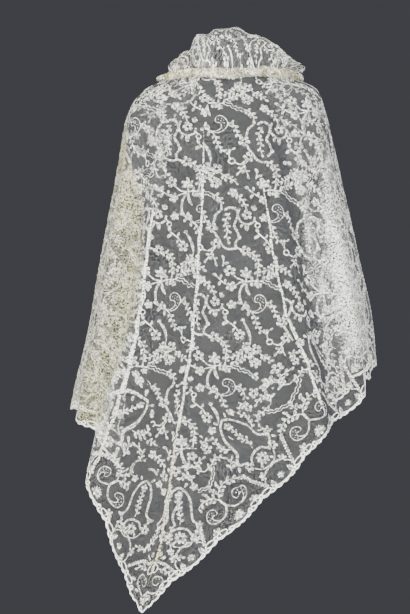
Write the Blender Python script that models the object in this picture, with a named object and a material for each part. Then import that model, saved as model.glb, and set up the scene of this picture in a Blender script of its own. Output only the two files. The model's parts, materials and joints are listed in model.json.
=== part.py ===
"""Triangular net-lace shawl, held as it is worn: over the shoulders, round both arms, open in front.

World frame: +Z up, the back of the shawl faces -Y, +X is on the right seen from behind. The origin is
the nape, where the cloth rests. All sizes are in metres. The cloth is one lofted sheet: its plan shape
comes from a table of levels below the nape, and its folds from a table of drape lines that run from the
neck to the hem.
"""

import math

import bmesh
import bpy
import numpy as np

MM = 0.001

WALL = 1.2 * MM
SEAM_GAP = 0.3 * MM

PLAN_CENTRE_Y = 0.085
COLUMN_STEP = 0.02
ROWS = 20

EDGING_WIDTH = 26 * MM
BIG_SCALLOP_PITCH = 140 * MM
BIG_SCALLOP_DEPTH = 7 * MM
SMALL_SCALLOP_PITCH = 23 * MM
SMALL_SCALLOP_DEPTH = 3.5 * MM
EDGING_CUTS = 3

CREST_SHARPNESS = 0.035
CREST_HEIGHT = 2.5 * MM

# Plan size of the cloth at each level. "drop" is how far the level lies below the nape at the centre
# back; "side" and "front" are how far it lies below it over the arms and in front.
LEVEL_COLUMNS = ("drop", "side", "front", "left", "right", "back", "fore", "square")
LEVELS = (
    (0.000, 0.000, 0.050, 0.120, 0.125, 0.085, 0.070, 2.00),
    (0.050, 0.034, 0.105, 0.194, 0.200, 0.112, 0.095, 2.10),
    (0.110, 0.085, 0.165, 0.230, 0.219, 0.135, 0.125, 2.30),
    (0.220, 0.205, 0.270, 0.252, 0.248, 0.155, 0.160, 2.40),
    (0.400, 0.395, 0.410, 0.288, 0.291, 0.175, 0.195, 2.40),
    (0.580, 0.575, 0.560, 0.321, 0.328, 0.215, 0.225, 2.40),
    (0.760, 0.755, 0.710, 0.362, 0.342, 0.285, 0.250, 2.40),
    (0.980, 0.970, 0.900, 0.388, 0.365, 0.360, 0.270, 2.40),
    (1.240, 1.220, 1.120, 0.410, 0.385, 0.430, 0.290, 2.40),
)

# Drape lines from the left front edge round the back to the right front edge. "turn" is the plan
# angle in degrees from the centre back at four depths; "out" is how far the line stands out of the
# plan shape, in mm, at mid height and low; "lean" is how far its crest leans over sideways, in mm.
LINE_DEPTHS = (0.15, 0.45, 0.80, 1.20)
LINE_COLUMNS = ("at", "turn_a", "turn_b", "turn_c", "turn_d", "out_mid", "out_low", "lean")
LINES = {
    "left_front_edge": (-1.00, -148.0, -143.0, -143.0, -143.0, 0.0, 0.0, 0.0),
    "left_front_swell": (-0.90, -137.0, -133.0, -132.0, -132.0, 14.0, 22.0, 0.0),
    "left_front_hollow": (-0.80, -124.0, -121.0, -121.0, -121.0, -12.0, -22.0, 0.0),
    "left_arm_front_swell": (-0.70, -110.0, -109.0, -108.0, -108.0, 8.0, 12.0, 0.0),
    "left_arm_front_hollow": (-0.62, -100.0, -100.0, -99.0, -99.0, -5.0, -10.0, 0.0),
    "left_arm_outer": (-0.56, -90.0, -90.0, -90.0, -90.0, 0.0, 0.0, 0.0),
    "left_arm_hollow": (-0.50, -78.0, -78.0, -80.0, -82.0, -10.0, -14.0, 0.0),
    "left_arm_back_swell": (-0.44, -66.0, -66.0, -71.0, -74.0, 2.0, -4.0, 0.0),
    "left_tuck": (-0.36, -50.0, -49.0, -56.0, -66.0, -30.0, -46.0, 0.0),
    "left_fold": (-0.28, -34.0, -32.0, -40.0, -54.0, 16.0, 22.0, -34.0),
    "back_left_hollow": (-0.18, -26.0, -25.0, -31.0, -43.0, -2.0, -4.0, 0.0),
    "centre_crease": (0.00, -13.4, -14.2, -16.5, -25.5, 6.0, 8.0, -5.0),
    "back_right_hollow": (0.12, 2.0, 4.0, 6.0, 0.0, -3.0, -4.0, 0.0),
    "right_ridge": (0.22, 17.0, 20.0, 30.0, 30.0, 10.0, 13.0, 6.0),
    "right_hollow": (0.30, 28.0, 31.0, 40.0, 42.0, -14.0, -16.0, 0.0),
    "right_pleat_in": (0.38, 40.0, 41.0, 50.0, 52.0, -10.0, -26.0, 0.0),
    "right_pleat_out": (0.46, 60.0, 60.0, 64.0, 66.0, 12.0, 14.0, -34.0),
    "right_arm_hollow": (0.52, 76.0, 77.0, 78.0, 79.0, -8.0, -12.0, 0.0),
    "right_arm_outer": (0.58, 90.0, 90.0, 90.0, 90.0, 0.0, 0.0, 0.0),
    "right_arm_front_hollow": (0.66, 101.0, 101.0, 102.0, 102.0, -9.0, -14.0, 0.0),
    "right_arm_front_swell": (0.74, 113.0, 113.0, 113.0, 113.0, 8.0, 14.0, 0.0),
    "right_front_hollow": (0.82, 125.0, 122.0, 122.0, 122.0, -12.0, -20.0, 0.0),
    "right_front_swell": (0.90, 137.0, 133.0, 132.0, 132.0, 12.0, 22.0, 0.0),
    "right_front_edge": (1.00, 148.0, 143.0, 143.0, 143.0, 0.0, 0.0, 0.0),
}

# The hem seen from behind, from the fold's low corner to the point and up to the right corner.
BACK_HEM_COLUMNS = ("across", "height")
BACK_HEM = (
    (-0.340, -0.905),
    (-0.326, -0.918),
    (-0.282, -1.010),
    (-0.236, -1.130),
    (-0.199, -1.208),
    (-0.140, -1.152),
    (0.000, -1.030),
    (0.147, -0.892),
    (0.234, -0.789),
    (0.292, -0.743),
    (0.318, -0.712),
    (0.345, -0.690),
)
BACK_HEM_SPAN = (-0.28, 0.46)

# The hem round the arms and in front, as a drop below the nape at each column.
SIDE_HEM_COLUMNS = ("at", "drop")
LEFT_HEM = (
    (-1.00, 0.960),
    (-0.90, 0.860),
    (-0.80, 0.790),
    (-0.62, 0.765),
    (-0.56, 0.764),
    (-0.50, 0.764),
    (-0.44, 0.790),
    (-0.36, 0.828),
    (-0.28, 0.915),
)
RIGHT_HEM = (
    (0.46, 0.700),
    (0.52, 0.682),
    (0.58, 0.664),
    (0.66, 0.655),
    (0.80, 0.700),
    (1.00, 0.795),
)

# Crown of the turned-over collar: how high it stands at each turn from the centre back.
CROWN_COLUMNS = ("turn", "height")
CROWN = (
    (-145.0, -0.014),
    (-115.0, 0.012),
    (-88.0, 0.024),
    (-65.0, 0.036),
    (-50.0, 0.052),
    (-40.0, 0.054),
    (-32.0, 0.090),
    (-22.0, 0.089),
    (-15.0, 0.101),
    (-3.0, 0.102),
    (6.0, 0.106),
    (14.0, 0.091),
    (23.0, 0.087),
    (37.0, 0.070),
    (47.0, 0.052),
    (61.0, 0.036),
    (75.0, 0.026),
    (90.0, 0.020),
    (115.0, 0.010),
    (145.0, -0.014),
)
COLLAR_LEFT = 0.130
COLLAR_RIGHT = 0.160
COLLAR_BACK = 0.092
COLLAR_FORE = 0.088
COLLAR_PUFF = 12 * MM

# How far the collar's outer foot reaches from the neck line toward the roll.
COLLAR_FOOT_COLUMNS = ("turn", "share")
COLLAR_FOOT = (
    (-145.0, 0.60),
    (-85.0, 0.40),
    (-60.0, 0.50),
    (-35.0, 1.00),
    (145.0, 1.00),
)
COLLAR_SECTION_STEPS = 9
COLLAR_STEP_DEG = 5.0
COLLAR_WAVE = 3 * MM
COLLAR_WAVES = 9
COLLAR_NOTCH_TURN = -27.0
COLLAR_NOTCH_WIDTH = 6.0
COLLAR_NOTCH_DEPTH = 6 * MM

# The roll lies on the sheet: how far below the nape at the centre back, and over the shoulders.
ROLL_REST_COLUMNS = ("turn", "drop")
ROLL_REST = (
    (-150.0, 0.016),
    (-118.0, 0.022),
    (-90.0, 0.024),
    (-60.0, 0.014),
    (-30.0, 0.005),
    (0.0, 0.006),
    (30.0, 0.004),
    (60.0, 0.010),
    (104.0, 0.022),
    (150.0, 0.016),
)
ROLL_SIZE_COLUMNS = ("turn", "radius")
ROLL_SIZE = (
    (-150.0, 0.0030),
    (-112.0, 0.0040),
    (-75.0, 0.0070),
    (-25.0, 0.0115),
    (30.0, 0.0120),
    (70.0, 0.0090),
    (104.0, 0.0050),
    (150.0, 0.0030),
)
ROLL_FROM_DEG = -112.0
ROLL_TO_DEG = 104.0
ROLL_STEP_DEG = 6.0
ROLL_SECTION_STEPS = 10
ROLL_OPEN_DEG = 50.0

IVORY = (0.83, 0.80, 0.70, 1.0)
CREAM = (0.80, 0.74, 0.58, 1.0)
EDGE_IVORY = (0.86, 0.84, 0.76, 1.0)


def clear_scene():
    """Take every object out of the starting scene."""
    for item in list(bpy.data.objects):
        bpy.data.objects.remove(item, do_unlink=True)


def smooth(xs, ys, x):
    """Monotone cubic through the points, held level past both ends."""
    xs = np.asarray(xs, dtype=float)
    ys = np.asarray(ys, dtype=float)
    x = np.clip(np.asarray(x, dtype=float), xs[0], xs[-1])
    step = np.diff(xs)
    rise = np.diff(ys) / step
    slope = np.zeros_like(ys)
    same_way = rise[:-1] * rise[1:] > 0.0
    safe = np.where(same_way, rise[:-1] + rise[1:], 1.0)
    slope[1:-1] = np.where(same_way, 2.0 * rise[:-1] * rise[1:] / safe, 0.0)
    slope[0] = rise[0]
    slope[-1] = rise[-1]
    i = np.clip(np.searchsorted(xs, x, side="right") - 1, 0, len(step) - 1)
    t = (x - xs[i]) / step[i]
    a = 2 * t**3 - 3 * t**2 + 1
    b = t**3 - 2 * t**2 + t
    c = -2 * t**3 + 3 * t**2
    d = t**3 - t**2
    return a * ys[i] + b * step[i] * slope[i] + c * ys[i + 1] + d * step[i] * slope[i + 1]


def column_of(table, names, name):
    """One named column of a table as an array."""
    k = names.index(name)
    return np.array([row[k] for row in table], dtype=float)


def level_value(name, drop):
    """A plan size at the given drops."""
    return smooth(column_of(LEVELS, LEVEL_COLUMNS, "drop"), column_of(LEVELS, LEVEL_COLUMNS, name), drop)


def line_value(name, at):
    """A drape-line column carried smoothly across the cloth."""
    rows = tuple(LINES.values())
    return smooth(column_of(rows, LINE_COLUMNS, "at"), column_of(rows, LINE_COLUMNS, name), at)


def plan_point(turn_deg, drop):
    """Point of the plain plan shape, before folds."""
    turn = np.radians(turn_deg)
    square = 2.0 / level_value("square", drop)
    half = np.where(turn < 0.0, level_value("left", drop), level_value("right", drop))
    deep = np.where(np.cos(turn) > 0.0, level_value("back", drop), level_value("fore", drop))
    x = half * np.sign(np.sin(turn)) * np.abs(np.sin(turn)) ** square
    y = PLAN_CENTRE_Y - deep * np.sign(np.cos(turn)) * np.abs(np.cos(turn)) ** square
    side = np.sin(turn) ** 2
    fall = np.where(np.cos(turn) > 0.0, drop, level_value("front", drop))
    z = -(fall * (1.0 - side) + level_value("side", drop) * side)
    return np.stack([x, y, z], axis=-1)


def cloth_path(at, drop):
    """Points down the draped sheet at one column, for an array of drops below the nape."""
    turn = smooth(LINE_DEPTHS, [float(line_value("turn_" + key, at)) for key in "abcd"], drop)
    grow_mid = smooth((0.0, 0.10, 0.30, 0.45, 1.30), (0.0, 0.12, 0.75, 1.0, 1.0), drop)
    grow_low = smooth((0.0, 0.45, 0.85, 1.30), (0.0, 0.0, 1.0, 1.0), drop)
    out = line_value("out_mid", at) * grow_mid * (1.0 - grow_low)
    out = (out + line_value("out_low", at) * grow_low) * MM
    lean = line_value("lean", at) * MM * (0.6 * grow_mid + 0.4 * grow_low)
    out = out + CREST_HEIGHT * math.exp(-abs(at) / CREST_SHARPNESS) * grow_mid
    along = plan_point(turn + 0.5, drop) - plan_point(turn - 0.5, drop)
    along[:, 2] = 0.0
    along = along / np.linalg.norm(along, axis=1, keepdims=True)
    outward = np.stack([along[:, 1], -along[:, 0], np.zeros_like(turn)], axis=1)
    return plan_point(turn, drop) + outward * out[:, None] + along * lean[:, None]


def hem_drop(at):
    """Drop at which a column meets the hem."""
    if at < BACK_HEM_SPAN[0]:
        return float(smooth([r[0] for r in LEFT_HEM], [r[1] for r in LEFT_HEM], at))
    if at > BACK_HEM_SPAN[1]:
        return float(smooth([r[0] for r in RIGHT_HEM], [r[1] for r in RIGHT_HEM], at))
    drops = np.linspace(0.40, 1.24, 169)
    path = cloth_path(at, drops)
    hem = np.interp(path[:, 0], [r[0] for r in BACK_HEM], [r[1] for r in BACK_HEM])
    above = path[:, 2] - hem
    k = int(np.argmax(above <= 0.0))
    if above[k] > 0.0 or k == 0:
        return 1.24
    share = above[k - 1] / (above[k - 1] - above[k])
    return float(drops[k - 1] + share * (drops[k] - drops[k - 1]))


def cloth_grid():
    """Columns, and the sheet's points as a grid with one extra row for the hem line itself."""
    columns = np.round(np.arange(-1.0, 1.0 + COLUMN_STEP / 2, COLUMN_STEP), 4)
    share = np.linspace(0.0, 1.0, ROWS) ** 1.15
    grid = np.zeros((len(columns), ROWS + 1, 3))
    for i, at in enumerate(columns):
        hem = hem_drop(float(at))
        path = cloth_path(float(at), np.linspace(0.0, hem, 60))
        length = np.concatenate([[0.0], np.cumsum(np.linalg.norm(np.diff(path, axis=0), axis=1))])
        stop = length[-1] - EDGING_WIDTH
        marks = np.concatenate([share * stop, [length[-1]]])
        for axis in range(3):
            grid[i, :, axis] = np.interp(marks, length, path[:, axis])
    return columns, grid


def grid_normals(grid):
    """Unit normals of a grid of points, facing out of the body of the garment."""
    across = np.gradient(grid, axis=0)
    down = np.gradient(grid, axis=1)
    normal = np.cross(down, across)
    return normal / np.linalg.norm(normal, axis=-1, keepdims=True)


def inward(rim, neighbour):
    """Unit directions square to a rim, within the cloth and toward the neighbour row."""
    tangent = np.gradient(rim, axis=0)
    tangent = tangent / np.linalg.norm(tangent, axis=-1, keepdims=True)
    step = neighbour - rim
    step = step - tangent * np.sum(step * tangent, axis=-1, keepdims=True)
    return step / np.linalg.norm(step, axis=-1, keepdims=True)


def pull_in(grid, gap):
    """Move the rim of a grid inward by `gap`, to leave a seam."""
    moved = grid.copy()
    for near, far in ((0, 1), (-1, -2)):
        moved[near] += inward(grid[near], grid[far]) * gap
        moved[:, near] += inward(grid[:, near], grid[:, far]) * gap
    return moved


def make_material(name, colour):
    """Cloth finish."""
    material = bpy.data.materials.new(name)
    material.use_nodes = True
    shader = material.node_tree.nodes["Principled BSDF"]
    shader.inputs["Base Color"].default_value = colour
    shader.inputs["Roughness"].default_value = 0.85
    shader.inputs["Metallic"].default_value = 0.0
    return material


def wall_solid(name, grid, normals, colour):
    """Closed wall of the cloth's thickness on a grid of points."""
    wide, high = grid.shape[:2]
    outer = grid + normals * (WALL / 2)
    inner = grid - normals * (WALL / 2)
    mesh = bpy.data.meshes.new(name)
    build = bmesh.new()
    top = [[build.verts.new(outer[i, j]) for j in range(high)] for i in range(wide)]
    low = [[build.verts.new(inner[i, j]) for j in range(high)] for i in range(wide)]
    for i in range(wide - 1):
        for j in range(high - 1):
            build.faces.new((top[i][j], top[i][j + 1], top[i + 1][j + 1], top[i + 1][j]))
            build.faces.new((low[i][j], low[i + 1][j], low[i + 1][j + 1], low[i][j + 1]))
    for i in range(wide - 1):
        build.faces.new((top[i][0], top[i + 1][0], low[i + 1][0], low[i][0]))
        build.faces.new((top[i + 1][-1], top[i][-1], low[i][-1], low[i + 1][-1]))
    for j in range(high - 1):
        build.faces.new((top[0][j + 1], top[0][j], low[0][j], low[0][j + 1]))
        build.faces.new((top[-1][j], top[-1][j + 1], low[-1][j + 1], low[-1][j]))
    bmesh.ops.recalc_face_normals(build, faces=build.faces)
    bmesh.ops.triangulate(build, faces=build.faces)
    build.to_mesh(mesh)
    build.free()
    if signed_volume(mesh) < 0.0:
        mesh.flip_normals()
    item = bpy.data.objects.new(name, mesh)
    item.data.materials.append(make_material(name + "_cloth", colour))
    bpy.context.scene.collection.objects.link(item)
    return item


def signed_volume(mesh):
    """Volume inside a closed triangle mesh, negative when it faces in."""
    total = 0.0
    for face in mesh.polygons:
        a, b, c = (mesh.vertices[k].co for k in face.vertices)
        total += a.dot(b.cross(c)) / 6.0
    return total


def build_cloth(columns, grid):
    """The five stretches of the sheet."""
    normals = grid_normals(grid)
    stretches = (
        ("shawl_left_front", -1.00, -0.62, IVORY),
        ("shawl_left_arm", -0.62, -0.28, CREAM),
        ("shawl_back", -0.28, 0.26, IVORY),
        ("shawl_right_arm", 0.26, 0.66, IVORY),
        ("shawl_right_front", 0.66, 1.00, IVORY),
    )
    for name, start, end, colour in stretches:
        a = int(np.argmin(np.abs(columns - start)))
        b = int(np.argmin(np.abs(columns - end))) + 1
        part = pull_in(grid[a:b, :ROWS], SEAM_GAP / 2)
        wall_solid(name, part, normals[a:b, :ROWS], colour)


def scallop(distance):
    """How far the edging's outer edge stands out at a distance along the hem."""
    big = abs(math.cos(math.pi * distance / BIG_SCALLOP_PITCH))
    small = abs(math.cos(math.pi * distance / SMALL_SCALLOP_PITCH))
    return BIG_SCALLOP_DEPTH * (big - 0.6) + SMALL_SCALLOP_DEPTH * (small - 0.5)


def build_edging(columns, grid):
    """The two lengths of scalloped edging, one each side of the point."""
    normals = grid_normals(grid)
    centre = int(np.argmin(np.abs(columns)))
    for name, first, last in (("edging_left", 0, centre), ("edging_right", centre, len(columns) - 1)):
        inner, outer, facing = [], [], []
        for i in range(first, last):
            for k in range(EDGING_CUTS + (1 if i == last - 1 else 0)):
                t = k / EDGING_CUTS
                inner.append(grid[i, -2] * (1 - t) + grid[i + 1, -2] * t)
                outer.append(grid[i, -1] * (1 - t) + grid[i + 1, -1] * t)
                facing.append(normals[i, -2] * (1 - t) + normals[i + 1, -2] * t)
        inner = np.array(inner)
        outer = np.array(outer)
        facing = np.array(facing)
        run = np.concatenate([[0.0], np.cumsum(np.linalg.norm(np.diff(outer, axis=0), axis=1))])
        if name == "edging_left":
            run = run[-1] - run
        down = outer - inner
        down = down / np.linalg.norm(down, axis=1, keepdims=True)
        reach = np.array([scallop(float(s)) for s in run])
        outer = outer + down * reach[:, None]
        middle = (inner + outer) / 2
        strip = np.stack([inner, middle, outer], axis=1)
        strip = pull_in(strip, SEAM_GAP / 2)
        facing = np.stack([facing] * 3, axis=1)
        facing = facing / np.linalg.norm(facing, axis=-1, keepdims=True)
        wall_solid(name, strip, facing, EDGE_IVORY)


def roll_radius(turn_deg):
    """Radius of the neck roll."""
    return smooth([r[0] for r in ROLL_SIZE], [r[1] for r in ROLL_SIZE], turn_deg)


def roll_line(turn_deg):
    """Centre of the neck roll, seated on the outside of the sheet."""
    drop = smooth([r[0] for r in ROLL_REST], [r[1] for r in ROLL_REST], turn_deg)
    here = plan_point(turn_deg, drop)
    along = plan_point(turn_deg + 1.0, drop) - plan_point(turn_deg - 1.0, drop)
    down = plan_point(turn_deg, drop + 1 * MM) - plan_point(turn_deg, np.maximum(drop - 1 * MM, 0.0))
    facing = np.cross(down, along)
    facing = facing / np.linalg.norm(facing, axis=-1, keepdims=True)
    return here + facing * (roll_radius(turn_deg) + WALL + SEAM_GAP)[:, None]


def build_collar():
    """The turned-over collar: up from the neck, over the crown and down to the roll."""
    turns = np.arange(-145.0, 145.0 + COLLAR_STEP_DEG / 2, COLLAR_STEP_DEG)
    height = smooth([r[0] for r in CROWN], [r[1] for r in CROWN], turns)
    angle = np.radians(turns)
    half = np.where(angle < 0.0, COLLAR_LEFT, COLLAR_RIGHT)
    deep = np.where(np.cos(angle) > 0.0, COLLAR_BACK, COLLAR_FORE)
    wave = COLLAR_WAVE * np.sin(angle * COLLAR_WAVES + 0.7)
    wave -= COLLAR_NOTCH_DEPTH * np.exp(-(((turns - COLLAR_NOTCH_TURN) / COLLAR_NOTCH_WIDTH) ** 2))
    crown = np.stack(
        [
            (half + wave) * np.sin(angle),
            PLAN_CENTRE_Y - (deep + wave) * np.cos(angle),
            height,
        ],
        axis=-1,
    )
    inner = plan_point(turns, np.zeros_like(turns))
    inner[:, 2] += WALL + SEAM_GAP
    outer = roll_line(turns)
    outer[:, 2] += roll_radius(turns) + WALL + SEAM_GAP
    share = smooth([r[0] for r in COLLAR_FOOT], [r[1] for r in COLLAR_FOOT], turns)[:, None]
    outer[:, :2] = inner[:, :2] + (outer[:, :2] - inner[:, :2]) * share
    radial = np.stack([np.sin(angle), -np.cos(angle)], axis=-1)
    puff = COLLAR_PUFF * np.clip((height - outer[:, 2]) / 0.09, 0.15, 1.0)
    section = np.linspace(0.0, 1.0, COLLAR_SECTION_STEPS)
    rows = np.zeros((len(turns), COLLAR_SECTION_STEPS, 3))
    for j, s in enumerate(section):
        blend = (1.0 - math.cos(math.pi * s)) / 2
        rise = math.sin(math.pi * s)
        bulge = crown - (inner + outer) / 2
        rows[:, j] = inner * (1 - blend) + outer * blend
        rows[:, j, :2] += bulge[:, :2] * rise
        rows[:, j, :2] -= radial * puff[:, None] * math.sin(2 * math.pi * s)
        rows[:, j, 2] += bulge[:, 2] * rise**0.6
    wall_solid("collar_turnover", rows, -grid_normals(rows), IVORY)


def build_roll():
    """The rolled edge under the collar: a wall rolled into an open tube that thins to its ends."""
    turns = np.arange(ROLL_FROM_DEG, ROLL_TO_DEG + ROLL_STEP_DEG / 2, ROLL_STEP_DEG)
    line = roll_line(turns)
    ahead = roll_line(turns + 1.0) - roll_line(turns - 1.0)
    ahead = ahead / np.linalg.norm(ahead, axis=-1, keepdims=True)
    side = np.cross(ahead, np.array([0.0, 0.0, 1.0]))
    side = side / np.linalg.norm(side, axis=-1, keepdims=True)
    rise = np.cross(side, ahead)
    start = ROLL_OPEN_DEG / 2 - 90.0
    stop = 270.0 - ROLL_OPEN_DEG / 2
    angles = np.radians(np.linspace(start, stop, ROLL_SECTION_STEPS))
    rows = np.zeros((len(turns), len(angles), 3))
    facing = np.zeros_like(rows)
    for j, angle in enumerate(angles):
        out = side * math.cos(angle) + rise * math.sin(angle)
        rows[:, j] = line + out * roll_radius(turns)[:, None]
        facing[:, j] = out
    wall_solid("neck_roll", rows, facing, CREAM)


def main():
    """Build the shawl."""
    clear_scene()
    columns, grid = cloth_grid()
    build_cloth(columns, grid)
    build_edging(columns, grid)
    build_collar()
    build_roll()


main()
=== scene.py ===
"""Net-lace shawl, worn over the shoulders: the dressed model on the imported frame.

The cloth's form is given here in this file's own numbers, so that each sheet lies where its solid lies.
The sheet is laid flat once, the lace is charted on the flat cloth in millimetres, and every thread of it is
then carried back onto the draped cloth. Sizes are in metres unless a name says mm.
"""

import json
import logging
import math
from dataclasses import dataclass, field
from enum import Enum
from typing import Callable, Sequence

import bpy
import numpy as np
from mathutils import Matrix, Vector
from mathutils.bvhtree import BVHTree
from mathutils.kdtree import KDTree

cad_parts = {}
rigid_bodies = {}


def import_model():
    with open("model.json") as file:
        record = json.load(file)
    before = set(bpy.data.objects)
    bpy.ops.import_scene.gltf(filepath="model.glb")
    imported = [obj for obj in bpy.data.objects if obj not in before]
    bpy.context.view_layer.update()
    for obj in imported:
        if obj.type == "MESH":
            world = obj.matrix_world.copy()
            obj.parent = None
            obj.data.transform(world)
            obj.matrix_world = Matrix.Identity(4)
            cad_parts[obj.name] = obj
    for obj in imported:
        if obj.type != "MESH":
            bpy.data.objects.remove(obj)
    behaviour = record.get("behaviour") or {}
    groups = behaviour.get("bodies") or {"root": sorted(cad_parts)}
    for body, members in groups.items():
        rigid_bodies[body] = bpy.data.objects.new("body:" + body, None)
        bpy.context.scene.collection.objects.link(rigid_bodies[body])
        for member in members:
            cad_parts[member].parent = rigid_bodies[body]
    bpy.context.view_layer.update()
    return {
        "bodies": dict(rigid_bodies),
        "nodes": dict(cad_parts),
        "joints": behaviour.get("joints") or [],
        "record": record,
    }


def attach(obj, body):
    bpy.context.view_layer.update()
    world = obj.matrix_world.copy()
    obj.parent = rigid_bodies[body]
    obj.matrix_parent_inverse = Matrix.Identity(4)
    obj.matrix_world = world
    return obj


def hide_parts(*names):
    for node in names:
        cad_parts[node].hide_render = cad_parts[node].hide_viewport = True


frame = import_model()

Array = np.ndarray
Point = tuple[float, float]
Choice = Callable[[Array], Array]
Material = bpy.types.Material
Piece = bpy.types.Object
MM = 0.001
LOG = logging.getLogger("shawl")

# How far the plan's centre lies in front of the nape.
PLAN_CENTRE = 0.085
# Turn at which the collar ends, degrees each way from the centre back.
COLLAR_TURN = 145.0
# Rows of the visible net, from the neck line to the hem, and of the edging's own strip of net.
NET_ROWS = 201
EDGE_ROWS = 5

# Plan sizes of the cloth by level: drop below the nape at the back, at the side and in front, half widths
# left and right, depths behind and before the centre, and how square the plan is.
LEVELS = np.array(
    [
        (0.000, 0.000, 0.050, 0.120, 0.125, 0.085, 0.070, 2.00),
        (0.050, 0.034, 0.105, 0.194, 0.200, 0.112, 0.095, 2.10),
        (0.110, 0.085, 0.165, 0.230, 0.219, 0.135, 0.125, 2.30),
        (0.220, 0.205, 0.270, 0.252, 0.248, 0.155, 0.160, 2.40),
        (0.400, 0.395, 0.410, 0.288, 0.291, 0.175, 0.195, 2.40),
        (0.580, 0.575, 0.560, 0.321, 0.328, 0.215, 0.225, 2.40),
        (0.760, 0.755, 0.710, 0.362, 0.342, 0.285, 0.250, 2.40),
        (0.980, 0.970, 0.900, 0.388, 0.365, 0.360, 0.270, 2.40),
        (1.240, 1.220, 1.120, 0.410, 0.385, 0.430, 0.290, 2.40),
    ]
)

# Drape lines from the left front edge round the back to the right front edge: column, plan angle in degrees
# at four depths, how far the line stands out at mid height and low in mm, and how far its crest leans in mm.
LINE_DEPTHS = (0.15, 0.45, 0.80, 1.20)
LINES = np.array(
    [
        (-1.00, -148, -143, -143, -143, 0, 0, 0),
        (-0.90, -137, -133, -132, -132, 14, 22, 0),
        (-0.80, -124, -121, -121, -121, -12, -22, 0),
        (-0.70, -110, -109, -108, -108, 8, 12, 0),
        (-0.62, -100, -100, -99, -99, -5, -10, 0),
        (-0.56, -90, -90, -90, -90, 0, 0, 0),
        (-0.50, -78, -78, -80, -82, -10, -14, 0),
        (-0.44, -66, -66, -71, -74, 2, -4, 0),
        (-0.36, -50, -49, -56, -66, -30, -46, 0),
        (-0.28, -34, -32, -40, -54, 16, 22, -34),
        (-0.18, -26, -25, -31, -43, -2, -4, 0),
        (0.00, -13.4, -14.2, -16.5, -25.5, 6, 8, -5),
        (0.12, 2, 4, 6, 0, -3, -4, 0),
        (0.22, 17, 20, 30, 30, 10, 13, 6),
        (0.30, 28, 31, 40, 42, -14, -16, 0),
        (0.38, 40, 41, 50, 52, -10, -26, 0),
        (0.46, 60, 60, 64, 66, 12, 14, -34),
        (0.52, 76, 77, 78, 79, -8, -12, 0),
        (0.58, 90, 90, 90, 90, 0, 0, 0),
        (0.66, 101, 101, 102, 102, -9, -14, 0),
        (0.74, 113, 113, 113, 113, 8, 14, 0),
        (0.82, 125, 122, 122, 122, -12, -20, 0),
        (0.90, 137, 133, 132, 132, 12, 22, 0),
        (1.00, 148, 143, 143, 143, 0, 0, 0),
    ],
    dtype=float,
)

# The hem seen from behind (across, height), and round the arms and in front (column, drop).
BACK_HEM = np.array(
    [
        (-0.34, -0.905), (-0.326, -0.918), (-0.282, -1.01), (-0.236, -1.13), (-0.199, -1.208), (-0.14, -1.152),
        (0.0, -1.03), (0.147, -0.892), (0.234, -0.789), (0.292, -0.743), (0.318, -0.712), (0.345, -0.69),
    ]
)
BACK_HEM_SPAN = (-0.28, 0.46)
LEFT_HEM = np.array(
    [
        (-1.0, 0.96), (-0.9, 0.86), (-0.8, 0.79), (-0.62, 0.765), (-0.56, 0.764), (-0.5, 0.764),
        (-0.44, 0.79), (-0.36, 0.828), (-0.28, 0.915),
    ]
)
RIGHT_HEM = np.array([(0.46, 0.7), (0.52, 0.682), (0.58, 0.664), (0.66, 0.655), (0.8, 0.7), (1.0, 0.795)])

# The turned-over collar: crown height by turn, and how far its foot reaches toward the roll.
CROWN = np.array(
    [
        (-145, -0.014), (-115, 0.012), (-88, 0.024), (-65, 0.036), (-50, 0.052), (-40, 0.054), (-32, 0.09),
        (-22, 0.089), (-15, 0.101), (-3, 0.102), (6, 0.106), (14, 0.091), (23, 0.087), (37, 0.07), (47, 0.052),
        (61, 0.036), (75, 0.026), (90, 0.02), (115, 0.01), (145, -0.014),
    ]
)
COLLAR_FOOT = np.array([(-145, 0.6), (-85, 0.4), (-60, 0.5), (-35, 1.0), (145, 1.0)])

# The roll lies on the sheet: drop by turn, and radius by turn.
ROLL_REST = np.array(
    [
        (-150, 0.016), (-118, 0.022), (-90, 0.024), (-60, 0.014), (-30, 0.005), (0, 0.006), (30, 0.004),
        (60, 0.01), (104, 0.022), (150, 0.016),
    ]
)
ROLL_SIZE = np.array(
    [
        (-150, 0.003), (-112, 0.004), (-75, 0.007), (-25, 0.0115), (30, 0.012), (70, 0.009), (104, 0.005),
        (150, 0.003),
    ]
)


def smooth(xs: Sequence[float], ys: Sequence[float], x: float | Array) -> Array:
    """Monotone cubic through given points, held level past both ends.

    Args:
        xs: where the points are, rising.
        ys: their values.
        x: where the curve is wanted.

    Returns:
        The curve's values at x.
    """
    xs, ys = np.asarray(xs, dtype=float), np.asarray(ys, dtype=float)
    x = np.clip(np.asarray(x, dtype=float), xs[0], xs[-1])
    step = np.diff(xs)
    rise = np.diff(ys) / step
    same_way = rise[:-1] * rise[1:] > 0.0
    safe = np.where(same_way, rise[:-1] + rise[1:], 1.0)
    slope = np.zeros_like(ys)
    slope[1:-1] = np.where(same_way, 2.0 * rise[:-1] * rise[1:] / safe, 0.0)
    slope[0], slope[-1] = rise[0], rise[-1]
    i = np.clip(np.searchsorted(xs, x, side="right") - 1, 0, len(step) - 1)
    t = (x - xs[i]) / step[i]
    value = (2 * t**3 - 3 * t**2 + 1) * ys[i] + (t**3 - 2 * t**2 + t) * step[i] * slope[i]
    return value + (3 * t**2 - 2 * t**3) * ys[i + 1] + (t**3 - t**2) * step[i] * slope[i + 1]


def ease(value: Array) -> Array:
    """Soft step from nought to one."""
    value = np.clip(value, 0.0, 1.0)
    return value * value * (3.0 - 2.0 * value)


def unit(vectors: Array) -> Array:
    """The vectors brought to length one."""
    return vectors / np.maximum(np.linalg.norm(vectors, axis=-1, keepdims=True), 1e-12)


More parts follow.
